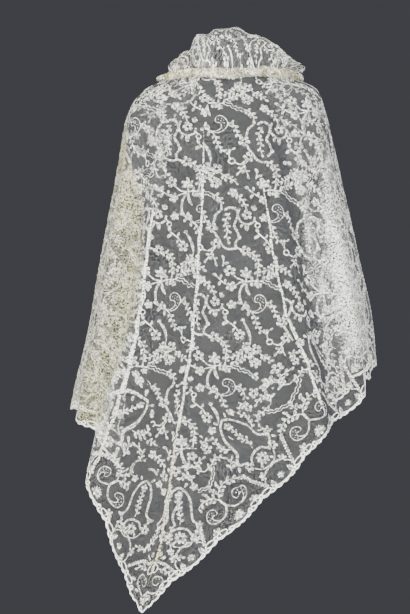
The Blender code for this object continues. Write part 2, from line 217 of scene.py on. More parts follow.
def grid_normals(grid: Array) -> Array:
    """Unit normals of a grid of points whose first axis runs across and whose second runs down."""
    return unit(np.cross(np.gradient(grid, axis=1), np.gradient(grid, axis=0)))


def run_along(line: Array) -> Array:
    """Distance along a line at each of its points."""
    return np.concatenate([[0.0], np.cumsum(np.linalg.norm(np.diff(line, axis=0), axis=1))])


def left_of(line: Array) -> Array:
    """Directions square to a flat line, to its left."""
    along = unit(np.gradient(line, axis=0))
    return np.stack([-along[:, 1], along[:, 0]], axis=1)


def sample_grid(grid: Array, across: Array, down: Array) -> Array:
    """Values of a grid between its points.

    Args:
        grid: values, first axis across, second down.
        across: places on the first axis, in steps.
        down: places on the second axis, in steps.

    Returns:
        One value for each place.
    """
    i = np.clip(across.astype(int), 0, grid.shape[0] - 2)
    j = np.clip(down.astype(int), 0, grid.shape[1] - 2)
    s, t = (across - i)[:, None], (down - j)[:, None]
    top = grid[i, j] * (1 - s) + grid[i + 1, j] * s
    low = grid[i, j + 1] * (1 - s) + grid[i + 1, j + 1] * s
    return top * (1 - t) + low * t


def seat(points: Array, normals: Array, across: Array, down: Array, lift: Array) -> Array:
    """Points that stand over a cloth's grid, at heights in mm."""
    return sample_grid(points, across, down) + sample_grid(normals, across, down) * lift * MM


def plan_point(turn_deg: Array, drop: Array) -> Array:
    """Point of the plain plan shape, before folds.

    Args:
        turn_deg: plan angle from the centre back, degrees.
        drop: drop below the nape at the centre back.

    Returns:
        The points.
    """
    level = [smooth(LEVELS[:, 0], LEVELS[:, k], drop) for k in range(8)]
    turn = np.radians(turn_deg)
    square = 2.0 / level[7]
    half = np.where(turn < 0.0, level[3], level[4])
    deep = np.where(np.cos(turn) > 0.0, level[5], level[6])
    x = half * np.sign(np.sin(turn)) * np.abs(np.sin(turn)) ** square
    y = PLAN_CENTRE - deep * np.sign(np.cos(turn)) * np.abs(np.cos(turn)) ** square
    side = np.sin(turn) ** 2
    fall = np.where(np.cos(turn) > 0.0, drop, level[2])
    return np.stack([x, y, -(fall * (1.0 - side) + level[1] * side)], axis=-1)


@dataclass(frozen=True)
class Crease:
    """One soft ridge or trough pressed into the cloth."""

    top: float  # Column where it starts.
    low: float  # Column where it ends.
    start: float  # Drop where it starts.
    end: float  # Drop where it has died out.
    depth_mm: float  # How far it stands out, less than nothing for a trough.
    width: float  # Its half width, in columns' units of about a metre.

    def out(self, at: float, drop: Array) -> Array:
        """How far it moves the cloth out at a column.

        Args:
            at: the column.
            drop: drops below the nape.

        Returns:
            The move at each drop, in metres.
        """
        along = np.clip((drop - self.start) / (self.end - self.start), 0.0, 1.0)
        centre = self.top + (self.low - self.top) * along
        rise = np.clip((drop - self.start) / 0.07, 0.0, 1.0) * np.clip((self.end - drop) / 0.12, 0.0, 1.0)
        return self.depth_mm * MM * np.exp(-(((at - centre) / self.width) ** 2)) * ease(rise)


CREASES = tuple(
    Crease(*row)
    for row in (
        (-0.96, -0.95, 0.15, 0.78, 3.5, 0.014), (-0.86, -0.88, 0.24, 0.84, -4.0, 0.018),
        (-0.765, -0.75, 0.1, 0.52, 3.0, 0.012), (-0.675, -0.69, 0.3, 0.76, -3.5, 0.015),
        (-0.585, -0.575, 0.08, 0.6, 4.0, 0.013), (-0.535, -0.53, 0.22, 0.8, -3.5, 0.011),
        (-0.475, -0.46, 0.06, 0.5, 3.5, 0.01), (-0.412, -0.428, 0.15, 0.74, -4.0, 0.014),
        (-0.385, -0.372, 0.42, 0.92, 3.0, 0.009), (-0.326, -0.335, 0.18, 0.66, 4.0, 0.011),
        (-0.235, -0.25, 0.06, 0.46, -2.5, 0.014), (-0.125, -0.165, 0.04, 0.4, 2.5, 0.012),
        (-0.062, -0.1, 0.52, 1.0, -2.2, 0.017), (0.048, 0.036, 0.06, 0.34, -2.4, 0.013),
        (0.092, 0.074, 0.46, 1.02, 2.4, 0.019), (0.152, 0.172, 0.03, 0.56, 2.8, 0.012),
        (0.192, 0.212, 0.34, 0.92, -2.8, 0.013), (0.262, 0.255, 0.05, 0.62, 3.5, 0.009),
        (0.345, 0.338, 0.15, 0.74, 3.5, 0.012), (0.412, 0.424, 0.04, 0.56, -3.5, 0.01),
        (0.492, 0.484, 0.2, 0.78, 4.0, 0.011), (0.552, 0.562, 0.08, 0.5, -3.2, 0.012),
        (0.612, 0.622, 0.25, 0.74, 3.5, 0.013), (0.7, 0.69, 0.12, 0.7, -3.5, 0.013),
        (0.782, 0.792, 0.1, 0.62, 3.0, 0.012), (0.868, 0.858, 0.3, 0.8, -4.0, 0.016),
        (0.952, 0.962, 0.15, 0.76, 3.5, 0.012),
    )
)


@dataclass
class Drape:
    """The draped sheet as a fine grid, from the neck line to a little past the hem line."""

    columns: int = 401  # Columns across, from the left front edge to the right.
    rows: int = 240  # Steps from the neck line to the hem line.
    rows_past: int = 8  # Steps past the hem line.
    past: float = 20 * MM  # How far the grid runs past the hem line.
    points: Array = field(init=False)
    normals: Array = field(init=False)  # Its normals, out of the garment.
    lengths: Array = field(init=False)  # Each column's length from neck to hem.

    def path(self, at: float, drop: Array) -> Array:
        """Points down the sheet at one column.

        Args:
            at: the column, from -1 to 1.
            drop: drops below the nape.

        Returns:
            One point for each drop.
        """
        turn_a, turn_b, turn_c, turn_d, mid, low, lean = (
            float(smooth(LINES[:, 0], LINES[:, k], at)) for k in range(1, 8)
        )
        turn = smooth(LINE_DEPTHS, (turn_a, turn_b, turn_c, turn_d), drop)
        grow_mid = smooth((0.0, 0.10, 0.30, 0.45, 1.30), (0.0, 0.12, 0.75, 1.0, 1.0), drop)
        grow_low = smooth((0.0, 0.45, 0.85, 1.30), (0.0, 0.0, 1.0, 1.0), drop)
        out = (mid * grow_mid * (1.0 - grow_low) + low * grow_low) * MM
        out = out + 2.5 * MM * math.exp(-abs(at) / 0.035) * grow_mid
        for crease in CREASES:
            out = out + crease.out(at, drop)
        lean = lean * MM * (0.6 * grow_mid + 0.4 * grow_low)
        along = plan_point(turn + 0.5, drop) - plan_point(turn - 0.5, drop)
        along[:, 2] = 0.0
        along = unit(along)
        outward = np.stack([along[:, 1], -along[:, 0], np.zeros_like(turn)], axis=1)
        return plan_point(turn, drop) + outward * out[:, None] + along * lean[:, None]

    def hem_drop(self, at: float) -> float:
        """Where a column meets the hem line.

        Args:
            at: the column, from -1 to 1.

        Returns:
            The drop below the nape.
        """
        if at < BACK_HEM_SPAN[0]:
            return float(smooth(LEFT_HEM[:, 0], LEFT_HEM[:, 1], at))
        if at > BACK_HEM_SPAN[1]:
            return float(smooth(RIGHT_HEM[:, 0], RIGHT_HEM[:, 1], at))
        drops = np.linspace(0.40, 1.24, 169)
        path = self.path(at, drops)
        above = path[:, 2] - np.interp(path[:, 0], BACK_HEM[:, 0], BACK_HEM[:, 1])
        k = int(np.argmax(above <= 0.0))
        if above[k] > 0.0 or k == 0:
            return 1.24
        share = above[k - 1] / (above[k - 1] - above[k])
        return float(drops[k - 1] + share * (drops[k] - drops[k - 1]))

    def lay(self) -> None:
        """Work out the grid's points and normals."""
        ats = np.linspace(-1.0, 1.0, self.columns)
        down = self.rows + self.rows_past + 1
        self.points = np.zeros((self.columns, down, 3))
        self.lengths = np.zeros(self.columns)
        for i, at in enumerate(ats):
            hem = self.hem_drop(float(at))
            drops = np.concatenate([np.linspace(0.0, hem, 60), hem + np.linspace(0.0, 0.06, 7)[1:]])
            path = self.path(float(at), drops)
            length = run_along(path)
            self.lengths[i] = length[59]
            marks = np.linspace(0.0, length[59], self.rows + 1)
            marks = np.concatenate([marks, length[59] + np.linspace(0.0, self.past, self.rows_past + 1)[1:]])
            for axis in range(3):
                self.points[i, :, axis] = np.interp(marks, length, path[:, axis])
        self.normals = grid_normals(self.points)


@dataclass
class FlatCut:
    """The draped sheet laid flat, each small triangle kept as close as it can be to its own size."""

    drape: Drape
    column_step: int = 4  # Fine columns between two columns of the flat grid.
    row_step: int = 10  # Fine rows between two rows of the flat grid.
    rounds: int = 60  # Rounds of turning and solving.
    # Flat places of the grid, the neck line's centre at nought and the crease straight down.
    places: Array = field(init=False)
    triangles: Array = field(init=False)
    tree: BVHTree = field(init=False)

    def row_marks(self) -> Array:
        """Fine rows at which the flat grid has its rows: the last lies past the hem line."""
        marks = np.arange(0, self.drape.rows + 1, self.row_step)
        return np.concatenate([marks, [self.drape.rows + self.drape.rows_past]])

    def lay(self) -> None:
        """Flatten the sheet: turn each triangle to fit, then solve for the places, again and again."""
        marks = self.row_marks()
        fine = self.drape.points
        coarse = fine[:: self.column_step][:, marks]
        wide, high = coarse.shape[:2]
        steps = np.linalg.norm(np.diff(fine, axis=0), axis=-1)[:, marks]
        across = steps.reshape(wide - 1, self.column_step, high).sum(axis=1)
        run = np.concatenate(
            [np.zeros((len(fine), 1)), np.cumsum(np.linalg.norm(np.diff(fine, axis=1), axis=-1), axis=1)], axis=1
        )
        down = np.diff(run[:: self.column_step][:, marks], axis=1)
        chord_across, chord_down = np.diff(coarse, axis=0), np.diff(coarse, axis=1)
        half_across, half_down = (across[:, 1:] + across[:, :-1]) / 2, (down[1:] + down[:-1]) / 2
        mean_across = unit(chord_across[:, 1:] + chord_across[:, :-1]) * half_across[..., None]
        mean_down = unit(chord_down[1:] + chord_down[:-1]) * half_down[..., None]
        diagonal = np.linalg.norm(mean_across + mean_down, axis=-1)

        index = np.arange(wide * high).reshape(wide, high)
        a, b = index[:-1, :-1].ravel(), index[1:, :-1].ravel()
        c, d = index[:-1, 1:].ravel(), index[1:, 1:].ravel()
        self.triangles = np.concatenate([np.stack([a, b, d], 1), np.stack([a, d, c], 1)])
        top, low = across[:, :-1].ravel(), across[:, 1:].ravel()
        left, right, slant = down[:-1].ravel(), down[1:].ravel(), diagonal.ravel()
        rest = np.concatenate([self._corner(top, slant, right), self._corner(slant, left, low)])

        edge_rest = rest - np.roll(rest, -1, axis=1)
        following = np.roll(self.triangles, -1, axis=1)
        opposite = np.roll(rest, -2, axis=1)
        to_here, to_next = rest - opposite, np.roll(rest, -1, axis=1) - opposite
        cross = np.abs(to_here[..., 0] * to_next[..., 1] - to_here[..., 1] * to_next[..., 0])
        weight = np.clip(np.sum(to_here * to_next, axis=-1) / np.maximum(cross, 1e-9), 0.05, 8.0)
        count = wide * high
        matrix = np.zeros((count, count))
        for i, j, sign in (
            (self.triangles, self.triangles, 1),
            (following, following, 1),
            (self.triangles, following, -1),
            (following, self.triangles, -1),
        ):
            np.add.at(matrix, (i.ravel(), j.ravel()), sign * weight.ravel())
        matrix[0, 0] += 1.0
        solve = np.linalg.inv(matrix)

        angle = np.radians(np.linspace(-78.0, 78.0, wide))[:, None]
        reach = 0.15 + run[:: self.column_step][:, marks]
        flat = np.stack([np.sin(angle) * reach, -np.cos(angle) * reach], axis=-1).reshape(-1, 2)
        for _ in range(self.rounds):
            edge = flat[self.triangles] - flat[following]
            cosine = np.sum(weight * np.sum(edge * edge_rest, axis=-1), axis=1)
            sine = np.sum(weight * (edge[..., 1] * edge_rest[..., 0] - edge[..., 0] * edge_rest[..., 1]), axis=1)
            size = np.maximum(np.hypot(cosine, sine), 1e-12)
            cosine, sine = (cosine / size)[:, None], (sine / size)[:, None]
            turned = np.stack(
                [
                    cosine * edge_rest[..., 0] - sine * edge_rest[..., 1],
                    sine * edge_rest[..., 0] + cosine * edge_rest[..., 1],
                ],
                axis=-1,
            )
            pull = np.zeros_like(flat)
            for axis in range(2):
                np.add.at(pull[:, axis], self.triangles.ravel(), (weight * turned[..., axis]).ravel())
                np.add.at(pull[:, axis], following.ravel(), -(weight * turned[..., axis]).ravel())
            flat = solve @ pull
        flat = flat.reshape(wide, high, 2)
        centre = wide // 2
        flat = flat - flat[centre, 0]
        ahead = unit(flat[centre, high - 2])
        turn = np.array([[-ahead[1], ahead[0]], [-ahead[0], -ahead[1]]])
        self.places = flat @ turn.T
        plane = [(float(x), float(y), 0.0) for x, y in self.places.reshape(-1, 2)]
        self.tree = BVHTree.FromPolygons(plane, self.triangles.tolist())

    @staticmethod
    def _corner(first: Array, second: Array, third: Array) -> Array:
        """Triangles laid flat by their sides' lengths.

        Args:
            first: sides laid along +x.
            second: sides below those, from the same corner.
            third: sides that close the triangles.

        Returns:
            Three flat corners for each triangle.
        """
        cosine = np.clip((first**2 + second**2 - third**2) / (2 * first * second), -0.999, 0.999)
        zero = np.zeros_like(first)
        corners = [(zero, zero), (first, zero), (second * cosine, -second * np.sqrt(1 - cosine**2))]
        return np.stack([np.stack(pair, axis=-1) for pair in corners], axis=1)

    def fine_places(self) -> Array:
        """The fine grid laid flat.

        Returns:
            A flat place for each of its points.
        """
        rows = np.arange(self.drape.rows + self.drape.rows_past + 1)
        down = np.interp(rows, self.row_marks(), np.arange(len(self.row_marks())))
        across = np.arange(self.drape.columns) / self.column_step
        pairs = np.stack(np.meshgrid(across, down, indexing="ij"), axis=-1).reshape(-1, 2)
        return sample_grid(self.places, pairs[:, 0], pairs[:, 1]).reshape(self.drape.columns, len(rows), 2)

    def find(self, flat: Array) -> tuple[Array, Array, Array]:
        """Where flat places lie on the fine grid.

        Args:
            flat: flat places.

        Returns:
            Fine columns, fine rows, and whether each place is on the cloth at all.
        """
        hits = np.full(len(flat), -1, dtype=int)
        down = Vector((0.0, 0.0, -1.0))
        for k, (x, y) in enumerate(flat.tolist()):
            hit = self.tree.ray_cast(Vector((x, y, 1.0)), down)[2]
            if hit is not None:
                hits[k] = hit
        found = hits >= 0
        corners = self.triangles[np.maximum(hits, 0)]
        a, b, c = (self.places.reshape(-1, 2)[corners[:, k]] for k in range(3))
        ab, ac, ap = b - a, c - a, flat - a
        area = ab[:, 0] * ac[:, 1] - ab[:, 1] * ac[:, 0]
        area = np.where(np.abs(area) < 1e-12, 1e-12, area)
        s = (ap[:, 0] * ac[:, 1] - ap[:, 1] * ac[:, 0]) / area
        t = (ab[:, 0] * ap[:, 1] - ab[:, 1] * ap[:, 0]) / area
        high = self.places.shape[1]
        share = np.stack([1 - s - t, s, t], axis=1)
        across = np.sum(share * (corners // high), axis=1) * self.column_step
        down_at = np.sum(share * (corners % high), axis=1)
        return across, np.interp(down_at, np.arange(high), self.row_marks()), found


# Height of a lace strip's own edge over the net, in mm.
EDGE_LIFT = 0.12


class Lace:
    """Lace charted flat in millimetres: thin crowned strips and patches with their height over the net."""

    def __init__(self) -> None:
        """Start with no thread."""
        self.points: list[Array] = []
        self.faces: list[Array] = []
        self.pieces: list[Array] = []
        self.count = 0
        self.made = 0

    def take(self, points: Array, faces: Array, pieces: Array | None = None) -> None:
        """Take in points and four-cornered faces.

        Args:
            points: places in mm, with their height over the net.
            faces: corners of each face.
            pieces: number of each face's piece, or nothing for one piece.
        """
        self.points.append(points)
        self.faces.append(faces + self.count)
        numbers = np.zeros(len(faces), dtype=int) if pieces is None else pieces
        self.pieces.append(numbers + self.made)
        self.count += len(points)
        self.made += int(numbers.max()) + 1 if len(numbers) else 0

    def cord(self, line: Array, half: float | Array, lift: float = 0.55) -> None:
        """A crowned strip along a line.

        Args:
            line: the line's points.
            half: half its width, one number or one for each point.
            lift: height of its crown over the net.
        """
        side = left_of(line) * np.broadcast_to(half, len(line))[:, None]
        high = np.full(len(line), lift)
        low = np.full(len(line), EDGE_LIFT)
        rows = [np.column_stack([line + side, low]), np.column_stack([line, high]), np.column_stack([line - side, low])]
        points = np.stack(rows, axis=1).reshape(-1, 3)
        k = np.arange(len(line) - 1)[:, None] * 3
        faces = np.concatenate([k + np.array([[0, 3, 4, 1]]), k + np.array([[1, 4, 5, 2]])])
        self.take(points, faces)

    def patch(self, centre: Point, wide: float, high: float, lift: float = 0.6, sides: int = 10) -> None:
        """A solid oval patch, domed over the net.

        Args:
            centre: its middle.
            wide: half its width.
            high: half its height.
            lift: height of its middle over the net.
            sides: sides of its rim, an even number.
        """
        angle = np.linspace(0.0, 2 * math.pi, sides, endpoint=False)
        rim = np.stack([np.cos(angle) * wide, np.sin(angle) * high], axis=1) + np.array(centre)
        points = np.vstack([np.column_stack([rim, np.full(sides, EDGE_LIFT)]), [[*centre, lift]]])
        faces = np.array([[k, (k + 1) % sides, (k + 2) % sides, sides] for k in range(0, sides, 2)])
        self.take(points, faces)

    def ring(self, centre: Point, wide: float, high: float, half: float, steps: int = 14) -> None:
        """A closed oval cord.

        Args:
            centre: its middle.
            wide: half its width.
            high: half its height.
            half: half the cord's own width.
            steps: its sides.
        """
        angle = np.linspace(0.0, 2 * math.pi, steps + 1)
        line = np.stack([np.cos(angle) * wide, np.sin(angle) * high], axis=1) + np.array(centre)
        self.cord(line, half)

    def place_both(self, half: "Lace") -> None:
        """Lay a copy of other lace on this, and its mirror image."""
        self.place(half)
        self.place(half, flip=True)

    def place(
        self, other: "Lace", at: Point = (0.0, 0.0), turn: float = 0.0, size: float = 1.0, flip: bool = False
    ) -> None:
        """Lay a copy of other lace on this.

        Args:
            other: the lace to copy.
            at: where its own centre comes.
            turn: how far it is turned, degrees.
            size: how much larger it is.
            flip: whether it is mirrored left to right first.
        """
        points, faces, pieces = other.gathered()
        flat = points[:, :2] * (size * np.array([-1.0 if flip else 1.0, 1.0]))
        flat = flat @ turned(turn).T + np.array(at)
        self.take(np.column_stack([flat, points[:, 2]]), faces[:, ::-1] if flip else faces, pieces)

    def gathered(self) -> tuple[Array, Array, Array]:
        """All that has been taken in.

        Returns:
            Points, faces and the faces' piece numbers.
        """
        if len(self.points) > 1:
            self.points = [np.vstack(self.points)]
            self.faces = [np.vstack(self.faces)]
            self.pieces = [np.concatenate(self.pieces)]
        return self.points[0], self.faces[0], self.pieces[0]

    def keep(self, wanted: Choice) -> None:
        """Drop each piece whose middle isn't wanted; long cords are judged face by face.

        Args:
            wanted: says for an array of places in mm which of them stay.
        """
        points, faces, pieces = self.gathered()
        middle = points[faces][:, :, :2].mean(axis=1)
        size = np.bincount(pieces, minlength=self.made).astype(float)
        centre = np.stack([np.bincount(pieces, middle[:, k], self.made) for k in (0, 1)], axis=1)
        centre = centre / np.maximum(size, 1.0)[:, None]
        judged = np.where((size > 14)[pieces][:, None], middle, centre[pieces])
        stays = wanted(judged)
        self.faces, self.pieces = [faces[stays]], [pieces[stays]]


def turned(degrees: float) -> Array:
    """Matrix that turns flat places."""
    a = math.radians(degrees)
    return np.array([[math.cos(a), -math.sin(a)], [math.sin(a), math.cos(a)]])


def curve(marks: Sequence[float] | Sequence[Point], step: float = 3.5) -> Array:
    """A smooth line through given marks.

    Args:
        marks: the marks' places in mm, x and y in turn or in pairs.
        step: distance between the points of the line.

    Returns:
        The line's points.
    """
    p = np.array(marks, dtype=float).reshape(-1, 2)
    p = np.vstack([2 * p[0] - p[1], p, 2 * p[-1] - p[-2]])
    t = np.linspace(0.0, 1.0, 9)[:-1, None]
    parts = []
    for a, b, c, d in zip(p[:-3], p[1:-2], p[2:-1], p[3:]):
        parts.append(0.5 * (2 * b + (c - a) * t + (2 * a - 5 * b + 4 * c - d) * t**2 + (3 * b - 3 * c + d - a) * t**3))
    line = np.vstack([*parts, p[-2:-1]])
    run = run_along(line)
    marks_at = np.linspace(0.0, run[-1], max(3, int(round(run[-1] / step)) + 1))
    return np.stack([np.interp(marks_at, run, line[:, k]) for k in (0, 1)], axis=1)


@dataclass(frozen=True)
class Motifs:
    """The small forms that the lace is made of, charted in millimetres."""

    stem: float = 1.0  # Half width of a stem.
    thin: float = 0.72  # Half width of an outline.
    slim_leaf: float = 0.72  # Share of its charted half width that a leaf takes.
    slim_braid: float = 0.80  # Share of its charted half width that a braid takes.
    short_leaf: float = 0.86  # Share of its charted length that a spray's leaf takes.
    small_flower: float = 0.90  # Share of its charted size that a flower takes.
    open_eye: float = 1.5  # Charted size from which a flower's eye is open and ringed.
    wide_eye: float = 1.20  # Share of its charted size that an open eye takes.

    def leaf(self, length: float, half: float, bend: float = 0.12) -> Lace:
        """A solid leaf, its foot at nought and its tip up.

        Args:
            length: its length.
            half: half its charted width.
            bend: how far its middle leans to the right, as a share of its length.

        Returns:
            The leaf.
        """
        t = np.array([0.0, 0.2, 0.45, 0.7, 0.9, 1.0])
        line = np.stack([bend * length * np.sin(t * math.pi), t * length], axis=1)
        lace = Lace()
        lace.cord(line, self.slim_leaf * half * np.array([0.22, 0.74, 1.0, 0.98, 0.66, 0.16]), 0.75)
        return lace

    def flower(self, petals: int, reach: float, eye: float) -> Lace:
        """A flower of round petals about its eye.

        Args:
            petals: number of petals.
            reach: its charted radius.
            eye: its eye's charted radius.

        Returns:
            The flower.
        """
        lace, ringed = Lace(), eye > self.open_eye
        reach = reach * self.small_flower
        eye = eye * self.wide_eye if ringed else eye
        broad = reach * math.sin(math.pi / petals) * 0.57
        t = np.array([0.0, 0.25, 0.55, 0.82, 1.0])
        for k in range(petals):
            angle = 2 * math.pi * k / petals + 0.06 * (k % 2)
            out = eye + t * (reach * (1.0 + 0.05 * math.cos(3 * k)) - eye)
            line = np.stack([np.sin(angle) * out, np.cos(angle) * out], axis=1)
            lace.cord(line, broad * np.array([0.50, 0.86, 1.0, 0.84, 0.30]), 0.8)
        if ringed:
            lace.ring((0.0, 0.0), eye, eye, 0.65, steps=10)
        return lace

    def solid_flower(self, reach: float) -> Lace:
        """A flower with no open eye.

        Args:
            reach: its charted radius.

        Returns:
            The flower.
        """
        lace = self.flower(5, reach, 1.2)
        lace.patch((0.0, 0.0), 3.2, 3.2, lift=0.95)
        return lace

    def lobed_leaf(self, size: float) -> Lace:
        """A broad leaf of five lobes, its foot at nought and its tip up.

        Args:
            size: length of a side lobe.

        Returns:
            The leaf.
        """
        lace = Lace()
        for at, turn, share in (
            ((0.0, 0.42), 0.0, 1.25),
            ((-0.10, 0.40), 52.0, 1.0),
            ((0.10, 0.40), -52.0, 1.0),
            ((-0.05, 0.10), 82.0, 0.85),
            ((0.05, 0.10), -82.0, 0.85),
        ):
            lace.place(self.leaf(size * share, size * 0.33), (at[0] * size, at[1] * size), turn)
        lace.patch((0.0, 0.55 * size), 0.42 * size, 0.55 * size, lift=0.85)
        return lace

    def tulip(self, size: float) -> Lace:
        """A bud of three petals.

        Args:
            size: its height.

        Returns:
            The bud.
        """
        lace = Lace()
        for turn, share in ((0.0, 1.0), (32.0, 0.85), (-32.0, 0.85)):
            lace.place(self.leaf(size * share, size * 0.26), turn=turn)
        return lace

    def bell(self, size: float) -> Lace:
        """A hanging bell: a small ring above a solid heart.

        Args:
            size: its heart's height.

        Returns:
            The bell.
        """
        lace = Lace()
        lace.ring((0.0, size * 0.55), size * 0.46, size * 0.42, 1.2, steps=10)
        lace.place(self.leaf(size * 1.05, size * 0.42), (0.0, size * 0.18), 180.0)
        return lace

    def crescent(self) -> Lace:
        """A crescent scroll: an outer and an inner line that meet in a tail and curl into a head.

        Returns:
            The scroll.
        """
        lace = Lace()
        outer = [-20, -19, -7, -21.5, 6, -16, 14.5, -4, 13, 9, 6, 17.5, -3, 20, -10.5, 15.5, -12, 8]
        inner = [-12, 8, -9, 3, -3.5, 3, 1.2, -1, 1.6, -8, -3, -14, -10, -17.5, -20, -19]
        lace.cord(curve(outer, 3.0), self.thin)
        lace.cord(curve(inner, 3.0), self.thin)
        for x, y in ((7, 9), (9, 2), (8.5, -5), (2, 13), (4, -11), (-5, 11), (5.5, 3.5), (0.5, 7)):
            lace.patch((x, y), 1.0, 1.0)
        return lace

    def braid(self, marks: Sequence[float], half: float) -> Lace:
        """A beaded braid.

        Args:
            marks: given marks of its line.
            half: half its charted width.

        Returns:
            The braid.
        """
        line = curve(marks, 1.9)
        swell = 1.0 + 0.36 * np.cos(np.arange(len(line)) * math.pi * 0.62)
        lace = Lace()
        lace.cord(line, self.slim_braid * half * swell, 0.8)
        return lace

    def beads(self, marks: Sequence[float], half: float, pitch: float = 7.0) -> Lace:
        """A bar of beads.

        Args:
            marks: given marks of its line.
            half: half its width.
            pitch: distance from bead to bead.

        Returns:
            The bar.
        """
        line = curve(marks, pitch / 6.0)
        swell = 1.0 + 0.38 * np.cos(np.arange(len(line)) * math.pi / 3.0)
        lace = Lace()
        lace.cord(line, half * swell, 0.9)
        return lace

    def line(self, marks: Sequence[float], half: float) -> Lace:
        """A plain stem.

        Args:
            marks: given marks of its line.
            half: half its width.

        Returns:
            The stem.
        """
        lace = Lace()
        lace.cord(curve(marks), half)
        return lace

    def twin_line(self, marks: Sequence[float], apart: float) -> Lace:
        """Two thin wavy lines side by side.

        Args:
            marks: given marks of the line between them.
            apart: distance of each from it.

        Returns:
            The two lines.
        """
        line = curve(marks, 2.6)
        side = left_of(line)
        wave = 1.5 * np.sin(np.arange(len(line)) * 1.3)[:, None]
        lace = Lace()
        lace.cord(line + side * (apart + wave), self.thin)
        lace.cord(line - side * (apart - wave), self.thin)
        return lace

    def spray(
        self, marks: Sequence[float], pairs: int, length: float = 12.0, half: float = 3.7, start: float = 0.12
    ) -> Lace:
        """A stem with leaves in pairs and one at its tip.

        Args:
            marks: given marks of the stem.
            pairs: number of pairs.
            length: a leaf's length.
            half: half a leaf's width.
            start: share of the stem left bare at its foot.

        Returns:
            The spray.
        """
        line = curve(marks, 3.0)
        along = unit(np.gradient(line, axis=0))
        lace = Lace()
        lace.cord(line, self.stem * 0.9)
        for k in range(pairs):
            share = start + (0.94 - start) * (k + 0.5) / pairs
            i = int(round(share * (len(line) - 1)))
            facing = math.degrees(math.atan2(-along[i, 0], along[i, 1]))
            small = 1.0 - 0.22 * share + 0.06 * (k % 2)
            for side in (1, -1):
                foot = line[max(0, i - (side < 0))]
                one = self.leaf(self.short_leaf * length * small, half * small)
                lace.place(one, tuple(foot), facing + 54.0 * side)
        facing = math.degrees(math.atan2(-along[-1, 0], along[-1, 1]))
        lace.place(self.leaf(length * 0.85, half * 0.85), tuple(line[-1]), facing)
        return lace


